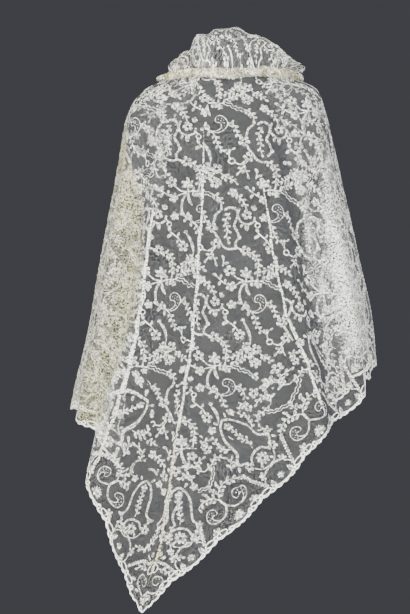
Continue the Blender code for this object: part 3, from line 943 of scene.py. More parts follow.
@dataclass(frozen=True)
class FieldChart:
    """One repeat of the field, charted round its crescent, x to the right and y up in mm."""

    motifs: Motifs
    across: Point = (231.0, -15.0)  # Step of the repeat across the cloth.
    down: Point = (-69.0, -200.0)  # Step of the repeat down the cloth.

    def repeat(self) -> Lace:
        """All of the repeat, group by group.

        Returns:
            The repeat.
        """
        lace = Lace()
        for part in (self.crescent_group(), self.arch_group(), self.flower_group()):
            lace.place(part)
        return lace

    def crescent_group(self) -> Lace:
        """The crescent in its braided arc, with the leaves and flowers that spring from the arc's head.

        Returns:
            Its lace.
        """
        m, lace = self.motifs, Lace()
        put = lace.place
        put(m.crescent())
        put(m.braid([-31, 50, -41, 39, -47, 24, -47, 7, -41, -4, -30, -13, -20, -19], 2.8))
        for marks in (
            [-31, 50, -33, 61],
            [-60, 63, -48, 53, -31, 50],
            [-57, 42, -45, 46, -31, 50],
            [-99, 60, -88, 51, -76, 44],
            [-31, 50, -18, 52, -5, 51, 8, 51],
        ):
            put(m.line(marks, 1.3))
        put(m.lobed_leaf(14), (-33, 60), 4)
        put(m.flower(5, 14, 3.8), (-69, 74), 12)
        put(m.solid_flower(12.5), (-66, 38), -24)
        for at, turn, length, half in (
            ((-31, 48), 196, 31, 4.2), ((-19, 51), 186, 12, 4.2), ((-9, 51), 166, 12, 4), ((4, 52), -16, 12, 4),
            ((-22, 52), -22, 10, 3.6), ((-99, 61), 62, 12, 4.2), ((-92, 55), -14, 12, 4),
            ((-88, 50), 150, 12, 4), ((-81, 46), -20, 10, 3.6), ((-42, -5), 62, 13, 4.2),
            ((-36, -9), -14, 13, 4.2), ((-34, -11), 132, 12, 4), ((-27, -15), 8, 12, 4),
            ((-24, -18), 170, 12, 4),
        ):
            put(m.leaf(length, half), at, turn)
        put(m.solid_flower(8.5), (-3, 42), 15)
        put(m.twin_line([6, 50, 17, 49, 27, 42, 38, 37, 51, 33], 3.3))
        put(m.spray([15, 3, 26, 0, 33, -12, 37, -25, 44, -34], 4, 11, 3.9, 0.02))
        put(m.spray([-20, -19, -11, -30, -7, -45, 1, -60, 13, -68, 23, -62], 5, 11.5))
        put(m.line([19, -66, 18, -77, 21, -83], 1.3))
        lace.ring((24, -89), 6.5, 6, 1.5)
        put(m.line([30, -92, 44, -96, 52, -89], 1.3))
        return lace

    def arch_group(self) -> Lace:
        """The arch of braid with its upright sprig, and the flower held in a hook of braid beside it.

        Returns:
            Its lace.
        """
        m, lace = self.motifs, Lace()
        put = lace.place
        put(m.spray([52, 34, 62, 30, 70, 21, 73, 9], 3, 12.5, 4, 0))
        put(m.braid([73, 9, 71, -2, 60, -13, 57, -26, 53, -38], 2.6))
        put(m.flower(5, 14, 3.8), (51, -42), 40)
        put(m.braid([56, -50, 61, -60, 70, -73, 79, -85, 92, -91, 105, -89], 2.6))
        right = [105, -89, 103, -78, 111, -66, 107, -52, 100, -38, 106, -21, 107, -7]
        put(m.braid([*right, 98, 2, 88, 3, 80, -3], 2.7))
        lace.ring((112, -65), 3.4, 3.4, 1.4, steps=8)
        put(m.spray([91, -9, 83, -28, 88, -46, 86, -60, 90, -71], 5, 11, 3.5, 0))
        put(m.flower(5, 13, 3.8), (61, -80), 8)
        put(m.spray([57, -90, 49, -102, 41, -115], 2, 12.5, 4.1))
        put(m.spray([50, -100, 55, -110, 60, -121], 1, 12, 4))
        put(m.flower(5, 12.5, 3.6), (129, -13), 20)
        hook = [112, 1, 108, -13, 114, -27, 129, -34, 143, -29, 147, -17]
        put(m.braid(hook, 2.5))
        put(m.spray([100, 35, 110, 29, 120, 18, 127, 3], 3, 12.5, 4.1, 0.05))
        put(m.solid_flower(11.5), (97, 38), 30)
        put(m.tulip(13), (142, -3), -14)
        put(m.solid_flower(11.5), (167, -19), 10)
        put(m.bell(12), (154, -43), 6)
        for at, turn, length in (
            ((133, -36), 168, 13), ((126, -36), 204, 13), ((121, -33), 150, 11), ((160, -60), 118, 15),
            ((170, -66), -30, 11), ((175, -73), 150, 11),
        ):
            put(m.leaf(length, length * 0.31), at, turn)
        put(m.line([144, -24, 154, -32], 1.3))
        put(m.line([155, -54, 163, -61, 173, -69, 181, -80], 1.4))
        put(m.flower(5, 14, 3.8), (185, -90), 0)
        return lace

    def flower_group(self) -> Lace:
        """The flowers, fern and bud sprays between the crescents.

        Returns:
            Their lace.
        """
        m, lace = self.motifs, Lace()
        put = lace.place
        put(m.leaf(47, 4.4, 0.1), (-20, -89), 23)
        put(m.tulip(9), (-38, -46), 24)
        put(m.spray([-20, -87, -23, -98, -34, -110, -48, -121, -67, -128], 5, 12.5, 4.1))
        put(m.flower(5, 14, 3.9), (-7, -107), 25)
        put(m.flower(5, 13.5, 3.8), (-11, -140), -8)
        put(m.spray([2, -117, 15, -126, 31, -137], 3, 12.5, 4.1, 0.1))
        put(m.flower(5, 13.5, 3.8), (127, -95), 16)
        put(m.line([105, -89, 116, -93], 1.8))
        put(m.spray([134, -97, 150, -106, 158, -123, 156, -140, 156, -154], 6, 13, 3.6, 0.02))
        put(m.spray([8, 60, 24, 66, 42, 72, 60, 84], 5, 12.5, 4.1, 0.05))
        put(m.spray([31, 105, 40, 93, 47, 79], 3, 12, 4))
        put(m.solid_flower(9.5), (66, 62), 12)
        put(m.leaf(12, 4), (82, -116), 40)
        put(m.leaf(12, 4), (80, -124), -70)
        put(m.line([76, -108, 80, -117, 78, -130], 1.3))
        return lace

    def fill(self, origin: Point, turn: float, wanted: Choice, reach: float) -> Lace:
        """The repeat laid over the part of the flat cloth where it is wanted.

        Args:
            origin: place of one crescent on the flat cloth, mm.
            turn: turn of the repeat against the flat cloth, degrees.
            wanted: says for an array of places which of them take lace.
            reach: how far from the origin the repeats go, mm.

        Returns:
            The field's lace.
        """
        one, lace, matrix = self.repeat(), Lace(), turned(turn)
        steps = int(reach / 190) + 2
        for i in range(-steps, steps + 1):
            for j in range(-steps, steps + 1):
                shift = matrix @ (np.array(self.across) * i + np.array(self.down) * j)
                at = (origin[0] + shift[0], origin[1] + shift[1])
                if np.hypot(*shift) < reach and abs(at[0]) < 1100 and -1350 < at[1] < 260:
                    lace.place(one, at, turn)
        lace.keep(wanted)
        return lace


# Distance along the hem from the point to the middle of the first fan unit, on the right and on the left, and
# the step from one unit to the next, in mm.
FIRST_UNIT = {True: 188.0, False: 148.0}
UNIT_STEP = 139.0


@dataclass(frozen=True)
class BorderChart:
    """The border's two units, x along the hem and y in from it, in mm."""

    motifs: Motifs
    first: float  # Distance from the point to the first fan unit's middle.
    step: float  # Distance between the middles of neighbouring units.

    def scroll_unit(self) -> Lace:
        """Fluted medallion, pair of scrolls, fronds and beaded bars, with twin lines and flowers above.

        Returns:
            The unit.
        """
        m, lace = self.motifs, Lace()
        for k in range(9):
            lace.place(m.leaf(15, 2.9, 0.02), (0, 12), -100 + 25 * k)
        lace.patch((0, 12), 5.5, 4.5, lift=0.9)
        lace.ring((0, 9), 2.6, 2.6, 1.3, steps=8)
        lace.place(m.line([0, 49, 0, 67], 2.4))
        half = Lace()
        put = half.place
        outer = [0, 49, 8, 41, 18, 34, 32, 32, 46, 36, 54, 45, 54, 55, 47, 63, 37, 66]
        outer += [28, 62, 24, 55, 26, 49, 31, 48]
        line = curve(outer, 2.6)
        half.cord(line, np.linspace(1.8, 0.8, len(line)), 0.8)
        put(m.line([30, 33, 38, 38, 42, 45, 39, 51, 33, 50], 0.9))
        for x, y in ((46, 42), (49, 49), (47, 56), (41, 60), (35, 58), (44, 50), (38, 54)):
            half.patch((x, y), 1.1, 1.1)
        put(m.spray([0, 67, 10, 80, 27, 88, 46, 87, 64, 77], 5, 15, 4.3, 0.06))
        put(m.beads([64, 77, 76, 58, 88, 36, 98, 15], 3.5))
        for turn in (0, 58, -58):
            put(m.leaf(12, 4), (56, 16), turn - 6)
        put(m.line([56, 8, 56, 18], 1.3))
        put(m.twin_line([0, 104, 8, 110, 22, 116, 34, 126, 41, 135], 2.8))
        put(m.spray([21, 138, 34, 139, 46, 140, 60, 146, 75, 133], 4, 12.5))
        put(m.spray([21, 138, 10, 152, 20, 164, 38, 164], 4, 12, 3.9))
        put(m.flower(5, 13, 3.6), (25, 184), 15)
        put(m.flower(5, 12.5, 3.5), (62, 172), 40)
        put(m.spray([54, 184, 66, 190, 78, 186], 2, 12, 3.9))
        put(m.spray([66, 98, 72, 108, 84, 118], 2, 12.5, 4))
        put(m.leaf(12, 4), (14, 96), -40)
        put(m.leaf(12, 4), (74, 84), -34)
        lace.place_both(half)
        lace.place(m.lobed_leaf(13), (0, 168), 0)
        lace.place(m.spray([0, 84, 0, 94, 0, 103], 1, 11, 3.8))
        return lace

    def fan_unit(self) -> Lace:
        """Small medallion between fluted fans, with a daisy and a horseshoe above.

        Returns:
            The unit.
        """
        lace = self.fan_foot()
        lace.place(self.fan_head())
        return lace

    def fan_foot(self) -> Lace:
        """Small medallion between fluted fans.

        Returns:
            The unit's foot.
        """
        m, lace = self.motifs, Lace()
        for k in range(5):
            lace.place(m.leaf(9, 2.9, 0.02), (0, 14), -90 + 45 * k)
        lace.ring((0, 12), 2.2, 2.2, 1.2, steps=8)
        half = Lace()
        put = half.place
        for k in range(4):
            put(m.leaf(14, 3, 0.03), (22, 8), -18 - 24 * k)
        put(m.line([37, 4, 41, 15, 38, 27, 30, 33], 1.1))
        put(m.braid([0, 46, 13, 45, 28, 39], 2.4))
        for turn in (-96, -48, 2):
            put(m.leaf(12.5, 4), (29, 38), turn)
        lace.place_both(half)
        return lace

    def fan_head(self, narrow: bool = False) -> Lace:
        """A daisy in its arc and a horseshoe of braid round a sprig.

        Args:
            narrow: whether the horseshoe is the narrow one, as beside the point.

        Returns:
            The lace.
        """
        m, lace, half = self.motifs, Lace(), Lace()
        put = half.place
        put(m.line([0, 48, 20, 52, 32, 66], 0.9))
        put(m.leaf(11, 3.6), (17, 52), 20)
        put(m.braid([30, 74, 18, 90, 0, 95], 2.8))
        put(m.flower(5, 13, 3.6), (41, 76), 8)
        frame = [40, 84, 45, 87, 52, 98, 47, 108, 37, 118, 35, 140, 30, 165, 16, 187, 0, 196]
        if narrow:
            frame = [36, 86, 42, 94, 40, 105, 31, 115, 28, 138, 26, 163, 15, 186, 0, 196]
        inset = 9 if narrow else 0
        put(m.braid(frame, 3))
        put(m.leaf(13, 4.2), (52 - inset, 100), -62)
        put(m.leaf(13, 4.2), (49 - inset, 107), -112)
        put(m.leaf(12, 4), (49 - inset, 92), -24)
        if not narrow:
            put(m.spray([40, 136, 50, 146, 54, 160, 50, 176], 4, 12, 3.9))
        put(m.solid_flower(11), (37, 196), 20)
        put(m.leaf(12, 4), (14, 196), -30)
        lace.place_both(half)
        lace.place(m.flower(9, 17, 4.2), (0, 71), 6)
        lace.place(m.spray([0, 103, 2, 120, -2, 140, 1, 156, 0, 168], 5, 12, 3.7))
        lace.place(m.flower(5, 10.5, 2.8), (0, 177), 0)
        return lace

    def tip(self) -> Lace:
        """The unit at the point: a heart, a pair of scrolls and two beaded bars, its axis up the crease.

        Returns:
            The unit.
        """
        m, lace = self.motifs, Lace()
        for turn in (0, 46, -46):
            lace.place(m.leaf(18, 6, 0.02), (0, 6), turn)
        lace.patch((0, 13), 5, 6, lift=0.9)
        lace.ring((0, 5), 2.2, 2.2, 1.1, steps=8)
        half = Lace()
        put = half.place
        outer = [0, 27, 9, 24, 22, 28, 32, 39, 33, 53, 25, 64, 13, 64, 8, 55, 11, 46, 19, 45]
        outer += [23, 51]
        line = curve(outer, 2.2)
        half.cord(line, np.linspace(1.9, 0.8, len(line)), 0.8)
        for x, y in ((26, 37), (29, 45), (28, 54), (22, 60), (15, 59)):
            half.patch((x, y), 1, 1)
        put(m.leaf(12, 4), (24, 24), -70)
        put(m.leaf(11, 3.8), (40, 46), -38)
        put(m.leaf(11, 3.8), (41, 52), -96)
        put(m.line([0, 70, 8, 73, 12, 82, 8, 90, 0, 93], 1.5))
        put(m.beads([4, 99, 26, 94, 49, 85, 70, 74], 2.9, 6))
        put(m.spray([14, 82, 28, 82, 40, 76], 2, 12, 3.9))
        put(m.leaf(12, 4), (12, 106), -52)
        put(m.leaf(12, 4), (8, 110), -8)
        put(m.solid_flower(9.5), (29, 126), 20)
        put(m.spray([27, 134, 19, 148, 15, 166, 18, 182], 4, 10.5, 3.6, 0.05))
        put(m.spray([34, 120, 46, 116, 56, 120], 2, 11, 3.7, 0.1))
        put(m.braid([19, 186, 12, 198, 10, 214, 13, 230], 2.4))
        put(m.spray([13, 230, 10, 246, 13, 262], 3, 10.5, 3.6, 0))
        lace.place_both(half)
        lace.place(m.leaf(14, 4.6), (0, 72))
        return lace

    def run(self, length: float) -> Lace:
        """All units of one side past the first fan unit, to the front edge.

        Args:
            length: the side's length in mm.

        Returns:
            The side's lace, in hem coordinates.
        """
        lace, units = Lace(), (self.scroll_unit(), self.fan_unit())
        at, k = self.first + self.step, 0
        while at < length + 60:
            lace.place(units[k % 2], (at, 0.0))
            at, k = at + self.step, k + 1
        return lace


@dataclass
class HemLine:
    """The hem line of the flat cloth, and the way from hem coordinates to the flat cloth."""

    cut: FlatCut
    line: Array = field(init=False)  # Flat places along the hem line, in mm.
    middle: int = field(init=False)  # Which of them is the point.

    def lay(self) -> None:
        """Take the hem line from the flat cloth."""
        self.line = self.cut.fine_places()[:, self.cut.drape.rows] / MM
        self.middle = len(self.line) // 2

    def side(self, right: bool) -> tuple[Array, Array, Array]:
        """One side of the hem from the point out.

        Args:
            right: whether it is the right side.

        Returns:
            Distances from the point, flat places, and directions square to the hem and into the cloth.
        """
        line = self.line[self.middle :] if right else self.line[self.middle :: -1]
        run = run_along(line)
        marks = np.arange(0.0, run[-1], 4.0)
        even = np.stack([np.interp(marks, run, line[:, k]) for k in (0, 1)], axis=1)
        wide = np.pad(even, ((20, 20), (0, 0)), mode="reflect", reflect_type="odd")
        soft = np.stack([np.convolve(wide[:, k], np.ones(15) / 15, mode="same") for k in (0, 1)], axis=1)[20:-20]
        return marks, even, left_of(soft) * (1.0 if right else -1.0)

    def to_flat(self, places: Array, right: bool) -> Array:
        """Carry places from hem coordinates to the flat cloth.

        Args:
            places: hem coordinates in mm.
            right: whether they are on the right side.

        Returns:
            Flat places in mm, far off for what lies past the side's ends.
        """
        marks, line, inward = self.side(right)
        out = np.zeros_like(places)
        for k in (0, 1):
            base = np.interp(places[:, 0], marks, line[:, k])
            out[:, k] = base + np.interp(places[:, 0], marks, inward[:, k]) * places[:, 1]
        past = (places[:, 0] > marks[-1]) | (places[:, 0] < 0.0)
        out[past] = 1e5
        return out

    def bend(self, lace: Lace, right: bool) -> Lace:
        """Lay lace along one side of the hem.

        Args:
            lace: the lace, in hem coordinates.
            right: whether it goes on the right side.

        Returns:
            The lace on the flat cloth.
        """
        points, faces, pieces = lace.gathered()
        bent = Lace()
        flat = np.column_stack([self.to_flat(points[:, :2], right), points[:, 2]])
        bent.take(flat, faces if right else faces[:, ::-1], pieces)
        return bent

    def distance(self, places: Array) -> Array:
        """How far flat places are from the hem line.

        Args:
            places: the places, in mm.

        Returns:
            Their distances in mm.
        """
        line = self.line[::4]
        away = np.full(len(places), 1e9)
        for start in range(0, len(places), 20000):
            gap = places[start : start + 20000, None, :] - line[None]
            away[start : start + 20000] = np.sqrt((gap**2).sum(axis=-1)).min(axis=1)
        return away


def linear(hex_colour: str) -> tuple[float, float, float, float]:
    """Turn an sRGB colour to linear.

    Args:
        hex_colour: the colour as #RRGGBB.

    Returns:
        Red, green, blue and a full alpha.
    """
    parts = [int(hex_colour[k : k + 2], 16) / 255 for k in (1, 3, 5)]
    parts = [v / 12.92 if v <= 0.04045 else ((v + 0.055) / 1.055) ** 2.4 for v in parts]
    return (*parts, 1.0)


class Surface:
    """A material under way, with its node tree and its shader."""

    def __init__(self, name: str) -> None:
        """Start the material.

        Args:
            name: its name.
        """
        self.material = bpy.data.materials.new(name)
        self.material.use_nodes = True
        self.tree = self.material.node_tree
        self.shader = self.tree.nodes["Principled BSDF"]

    def add(self, kind: str, inputs: dict, **settings: object) -> bpy.types.Node:
        """Add a node.

        Args:
            kind: the node's type name, less the ShaderNode at its start.
            inputs: what goes into it.
            settings: the node's own settings.

        Returns:
            The node.
        """
        node = self.tree.nodes.new("ShaderNode" + kind)
        for name, value in settings.items():
            setattr(node, name, value)
        self.feed(node, inputs)
        return node

    def feed(self, node: bpy.types.Node, inputs: dict) -> None:
        """Set or link a node's inputs.

        Args:
            node: the node.
            inputs: values, sockets, or nodes for their first output, by the input's name or number.
        """
        for name, value in inputs.items():
            value = value.outputs[0] if isinstance(value, bpy.types.Node) else value
            if isinstance(value, bpy.types.NodeSocket):
                self.tree.links.new(value, node.inputs[name])
            else:
                node.inputs[name].default_value = value


def cream_tone(surface: Surface, colour: str, cream: str) -> bpy.types.NodeSocket:
    """Colour that goes from ivory to cream by the piece's own "cream" value, a little cloudy.

    Args:
        surface: the material under way.
        colour: ivory, as sRGB hex.
        cream: cream, as sRGB hex.

    Returns:
        The colour's socket.
    """
    place = surface.add("UVMap", {}, uv_map="cloth")
    cloud = surface.add("TexNoise", {"Vector": place, "Scale": 38.0, "Detail": 3.0})
    shift = surface.add("MapRange", {"Value": cloud, "To Min": -0.12, "To Max": 0.30})
    much = surface.add("Attribute", {}, attribute_name="cream").outputs["Fac"]
    share = surface.add("Math", {0: much, 1: shift}, operation="ADD", use_clamp=True)
    return surface.add("Mix", {0: share, 6: linear(colour), 7: linear(cream)}, data_type="RGBA").outputs[2]


# Flat cloth in metres to the 0-1 square that the maps use, the same for every piece of cloth.
MAP_SPAN = 2.8
MAP_SHIFT = (0.5, 0.62)


@dataclass(frozen=True)
class NetFinish:
    """Fine cotton net, twisted in six-sided meshes: see-through, mat, a little uneven.

    The real mesh is about 1.2 mm across, too fine to show at this size, so it is drawn at pitch_mm, as coarse
    as it has to be for its grain to show. The cover is the share of the surface that thread takes.
    """

    name: str
    colour: str
    cream: str
    pitch_mm: float = 4.2
    line_from: float = 0.84
    line_to: float = 0.99
    veil: float = 0.0
    cover: float = 0.26

    def make(self) -> Material:
        """Make it.

        Returns:
            The material.
        """
        surface = Surface(self.name)
        place = surface.add("UVMap", {}, uv_map="cloth")
        span = MAP_SPAN / MM
        waves = []
        for degrees in (0.0, 60.0, 120.0):
            a = math.radians(degrees)
            way = (math.cos(a) * span, math.sin(a) * span, 0.0)
            along = surface.add("VectorMath", {0: place, 1: way}, operation="DOT_PRODUCT").outputs["Value"]
            turns = surface.add("Math", {0: along, 1: 2 * math.pi / self.pitch_mm}, operation="MULTIPLY")
            waves.append(surface.add("Math", {0: turns}, operation="SINE"))
        pair = surface.add("Math", {0: waves[0], 1: waves[1]}, operation="MAXIMUM")
        mesh = surface.add("Math", {0: pair, 1: waves[2]}, operation="MAXIMUM")
        cloud = surface.add("TexNoise", {"Vector": place, "Scale": 46.0, "Detail": 3.0})
        soft = surface.add(
            "MapRange", {"Value": cloud, "From Min": 0.3, "From Max": 0.7, "To Min": 0.75, "To Max": 1.25}
        )
        grain = surface.add("TexNoise", {"Vector": place, "Scale": 640.0, "Detail": 1.0})
        sharp = surface.add(
            "MapRange", {"Value": grain, "From Min": 0.38, "From Max": 0.67, "To Min": 0.0, "To Max": 2.7}
        )
        uneven = surface.add("Math", {0: soft, 1: sharp}, operation="MULTIPLY")
        lines = {"From Min": self.line_from, "From Max": self.line_to, "To Min": self.veil, "To Max": self.cover}
        thread = surface.add("MapRange", {"Value": mesh} | lines, interpolation_type="SMOOTHSTEP")
        cover = surface.add("Math", {0: thread, 1: uneven}, operation="MULTIPLY")
        doubled = surface.add("Attribute", {}, attribute_name="doubled").outputs["Fac"]
        both = surface.add("Math", {0: doubled, 1: uneven, 2: cover}, operation="MULTIPLY_ADD", use_clamp=True)
        tone = cream_tone(surface, self.colour, self.cream)
        surface.feed(surface.shader, {"Roughness": 0.88, "IOR": 1.5, "Alpha": both, "Base Color": tone})
        return surface.material


@dataclass(frozen=True)
class ClothStitchFinish:
    """Cotton cloth-stitch lace, applied to the net: closely woven, mat, soft edged and a little uneven.

    Its threads lie 0.35 mm apart; the weave is drawn at weave_mm so that it shows as a faint grain. The piece's
    own "doubled" value says where its open filling is: greyer there than at the thick thread round its edge.
    """

    name: str
    colour: str
    cream: str
    weave_mm: float = 1.5
    sheen: float = 0.25
    shade: str = "#6F6E68"
    open_weave: float = 0.85
    filling: float = 0.55

    def make(self) -> Material:
        """Make it.

        Returns:
            The material.
        """
        surface = Surface(self.name)
        place = surface.add("UVMap", {}, uv_map="cloth")
        scale = MAP_SPAN / MM / self.weave_mm
        size = surface.add("VectorMath", {0: place, 1: (scale, scale, scale)}, operation="MULTIPLY")
        squares = {"Scale": 1.0, "Color1": (1, 1, 1, 1), "Color2": (0.25, 0.25, 0.25, 1.0)}
        weave = surface.add("TexChecker", {"Vector": size} | squares)
        cloud = surface.add("TexNoise", {"Vector": place, "Scale": 60.0, "Detail": 4.0})
        grain = surface.add("TexNoise", {"Vector": place, "Scale": 470.0, "Detail": 1.0})
        gaps = surface.add(
            "MapRange", {"Value": grain, "From Min": 0.40, "From Max": 0.58, "To Min": self.open_weave, "To Max": 0.0}
        )
        inner = surface.add("Attribute", {}, attribute_name="doubled").outputs["Fac"]
        open_share = {0: inner, 1: self.filling, 2: gaps}
        share = surface.add("Math", open_share, operation="MULTIPLY_ADD", use_clamp=True)
        tone = cream_tone(surface, self.colour, self.cream)
        shaded = surface.add("Mix", {0: share, 6: tone, 7: linear(self.shade)}, data_type="RGBA").outputs[2]
        rough = surface.add("MapRange", {"Value": cloud, "To Min": 0.74, "To Max": 0.92})
        bump = surface.add("Bump", {"Height": weave, "Strength": 0.35, "Distance": 0.0006})
        surface.feed(surface.shader, {"IOR": 1.5, "Sheen Weight": self.sheen, "Sheen Roughness": 0.5})
        surface.feed(surface.shader, {"Base Color": shaded, "Roughness": rough, "Normal": bump})
        return surface.material


@dataclass(frozen=True)
class Wardrobe:
    """All finishes, made once."""

    # Single net: the dark behind it shows through, with a light grain of meshes over it.
    net: Material = field(default_factory=NetFinish("cotton_net", "#E6E8E4", "#CFCC9E", cover=0.10).make)
    # Net pressed into a fold, four layers at one place: a nearly solid pale line. Its darker tan second colour, toward
    # the centre fold's foot, is partly the cream of the pressed layers and partly painted shade of the pleat's valley.
    folded: Material = field(
        default_factory=NetFinish("cotton_net_folded", "#EFF0E8", "#B9AE7C", veil=0.62, cover=0.95).make
    )
    # Net rolled up loosely: cloudy and cream, as each layer warms what shows through.
    rolled: Material = field(
        default_factory=NetFinish("cotton_net_rolled", "#E6E4D2", "#CCC597", veil=0.10, cover=0.38).make
    )
    # Woven lace parts: solid, mat and bright against the net.
    lace: Material = field(default_factory=ClothStitchFinish("cloth_stitch_ivory", "#F3F4EE", "#CECBA6").make)
    # Buttonhole-stitched edge: the brightest and crispest line.
    edging: Material = field(
        default_factory=ClothStitchFinish("stitched_cotton_edge", "#F7F8F2", "#E0DAB8", 1.2, 0.3, open_weave=0.45).make
    )


def new_piece(
    name: str,
    points: Array,
    faces: Array,
    maps: Array,
    material: Material,
    replaces: Sequence[str] = (),
    tints: Array | None = None,
) -> Piece:
    """Make one piece of the scene from a mesh and let it ride.

    Args:
        name: the piece's name.
        points: its points in metres.
        faces: its four-cornered faces.
        maps: flat cloth place of each point, in metres.
        material: its finish.
        replaces: nodes that it stands for.
        tints: how far the cloth lies double, and how cream it is, at each point.

    Returns:
        The piece.
    """
    used = np.unique(faces)
    number = np.full(len(points), -1)
    number[used] = np.arange(len(used))
    tints = np.zeros((len(points), 2)) if tints is None else tints
    points, maps, faces, tints = points[used], maps[used], number[faces], tints[used]
    mesh = bpy.data.meshes.new(name)
    mesh.vertices.add(len(points))
    mesh.vertices.foreach_set("co", points.astype(np.float32).ravel())
    mesh.loops.add(faces.size)
    mesh.loops.foreach_set("vertex_index", faces.astype(np.int32).ravel())
    mesh.polygons.add(len(faces))
    mesh.polygons.foreach_set("loop_start", np.arange(0, faces.size, 4, dtype=np.int32))
    mesh.update(calc_edges=True)
    mesh.validate()
    layer = mesh.uv_layers.new(name="cloth")
    corner = np.zeros(len(mesh.loops), dtype=np.int32)
    mesh.loops.foreach_get("vertex_index", corner)
    places = maps[corner] / MAP_SPAN + np.array(MAP_SHIFT)
    layer.data.foreach_set("uv", places.astype(np.float32).ravel())
    for k, label in enumerate(("doubled", "cream")):
        values = mesh.attributes.new(label, "FLOAT", "POINT")
        values.data.foreach_set("value", tints[:, k].astype(np.float32))
    mesh.polygons.foreach_set("use_smooth", np.ones(len(mesh.polygons), dtype=bool))
    mesh.materials.append(material)
    piece = bpy.data.objects.new(name, mesh)
    bpy.context.scene.collection.objects.link(piece)
    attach(piece, "root")
    if replaces:
        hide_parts(*replaces)
    LOG.info("%s: %d points, %d faces", name, len(points), len(mesh.polygons))
    return piece


def grid_faces(wide: int, high: int) -> Array:
    """Faces of a grid of points.

    Args:
        wide: points across, along the first axis.
        high: points down.

    Returns:
        Four corners for each face.
    """
    index = np.arange(wide * high).reshape(wide, high)
    parts = [index[:-1, :-1], index[:-1, 1:], index[1:, 1:], index[1:, :-1]]
    return np.stack([part.ravel() for part in parts], axis=1)


def cut_area(name: str, wide: float, high: float, area: float) -> float:
    """Report a sheet's flat size, and keep its area within what a cut of that size can have."""
    LOG.info("%s: flat %.3f x %.3f m, %.4f m2", name, wide, high, area)
    return min(max(area, 0.3 * wide * high), wide * high)


@dataclass
class Band:
    """A long strip of folded cloth, and the way its flat lace is carried onto it."""

    rows: Array  # Its grid of points, along it and then over it.
    normals: Array  # Directions out of the cloth at them.
    run: Array  # Distance along it.
    girth: Array  # Flat width of the strip at each of those.
    start: float  # Where its first edge lies on the flat cloth's map.

    def net(self, name: str, finish: Material, node: str, slot: str, tints: Array) -> Piece:
        """Make its net.

        Args:
            name: the piece's name.
            finish: its finish.
            node: the node that it stands for.
            slot: the record's material slot, not used.
            tints: doubling and cream at each point.

        Returns:
            The piece.
        """
        wide, high = self.rows.shape[:2]
        along = np.repeat(self.run[:, None] - self.run[-1] / 2, high, axis=1)
        maps = np.stack([along, self.start + np.linspace(0.0, 1.0, high)[None] * self.girth[:, None]], axis=-1)
        points, flat = self.rows.reshape(-1, 3), maps.reshape(-1, 2)
        return new_piece(name, points, grid_faces(wide, high), flat, finish, (node,), tints.reshape(-1, 2))

    def sprigs(
        self, name: str, lace: Lace, finish: Material, slot: str, tint: Point = (0.0, 0.0)
    ) -> Piece:
        """Lay flat lace on it.

        Args:
            name: the piece's name.
            lace: the lace, its middle along the strip at nought and its foot at the first edge.
            finish: its finish.
            slot: the record's material slot, not used.
            tint: its doubling and cream.

        Returns:
            The piece.
        """
        points, faces, _ = lace.gathered()
        wide, last, marks = float(self.run[-1]), self.rows.shape[1] - 1, np.arange(len(self.run))
        x, y = points[:, 0] * MM + wide / 2, points[:, 1] * MM
        column = np.interp(x, self.run, marks)
        row = y / np.interp(column, marks, self.girth) * last
        inside = (x > 0) & (x < wide) & (row > 0) & (row < last)
        faces = faces[inside[faces].all(axis=1)]
        seated = seat(self.rows, self.normals, column, row, points[:, 2:])
        flat = np.stack([x - wide / 2, y + self.start], axis=1)
        return new_piece(name, seated, faces, flat, finish, (), np.tile(tint, (len(seated), 1)))

    def flat_size(self, name: str) -> tuple[float, float, float]:
        """Measure its cut.

        Args:
            name: the net's name, for the report.

        Returns:
            Length, greatest width and area.
        """
        wide, high = float(self.run[-1]), float(self.girth.max())
        area = float((np.diff(self.run) * (self.girth[1:] + self.girth[:-1]) / 2).sum())
        return wide, high, cut_area(name, wide, high, area)


# Where the net lies double: on the left from the arm's side to a line (depth, column) beside the back's
# outer fold, and on the right in two slanting bands (depth, column, half width, how much).
LEFT_DOUBLE = np.array(
    [
        (0.14, -0.52), (0.2, -0.465), (0.25, -0.42), (0.3, -0.365), (0.34, -0.332), (0.4, -0.295),
        (0.46, -0.27), (0.6, -0.262), (0.68, -0.27), (0.72, -0.31), (0.79, -0.33), (0.87, -0.338),
        (1.0, -0.36),
    ]
)
RIGHT_DOUBLE = (
    np.array(
        [
            (0.16, 0.49, 0.012, 0.0), (0.24, 0.48, 0.016, 0.16), (0.36, 0.445, 0.022, 0.36),
            (0.45, 0.447, 0.026, 0.5), (0.56, 0.446, 0.033, 0.48), (0.65, 0.448, 0.036, 0.34),
            (0.72, 0.45, 0.045, 0.0),
        ]
    ),
    np.array(
        [
            (0.3, 0.36, 0.02, 0.0), (0.4, 0.352, 0.024, 0.15), (0.5, 0.35, 0.03, 0.17),
            (0.58, 0.345, 0.028, 0.1), (0.68, 0.34, 0.03, 0.0),
        ]
    ),
)


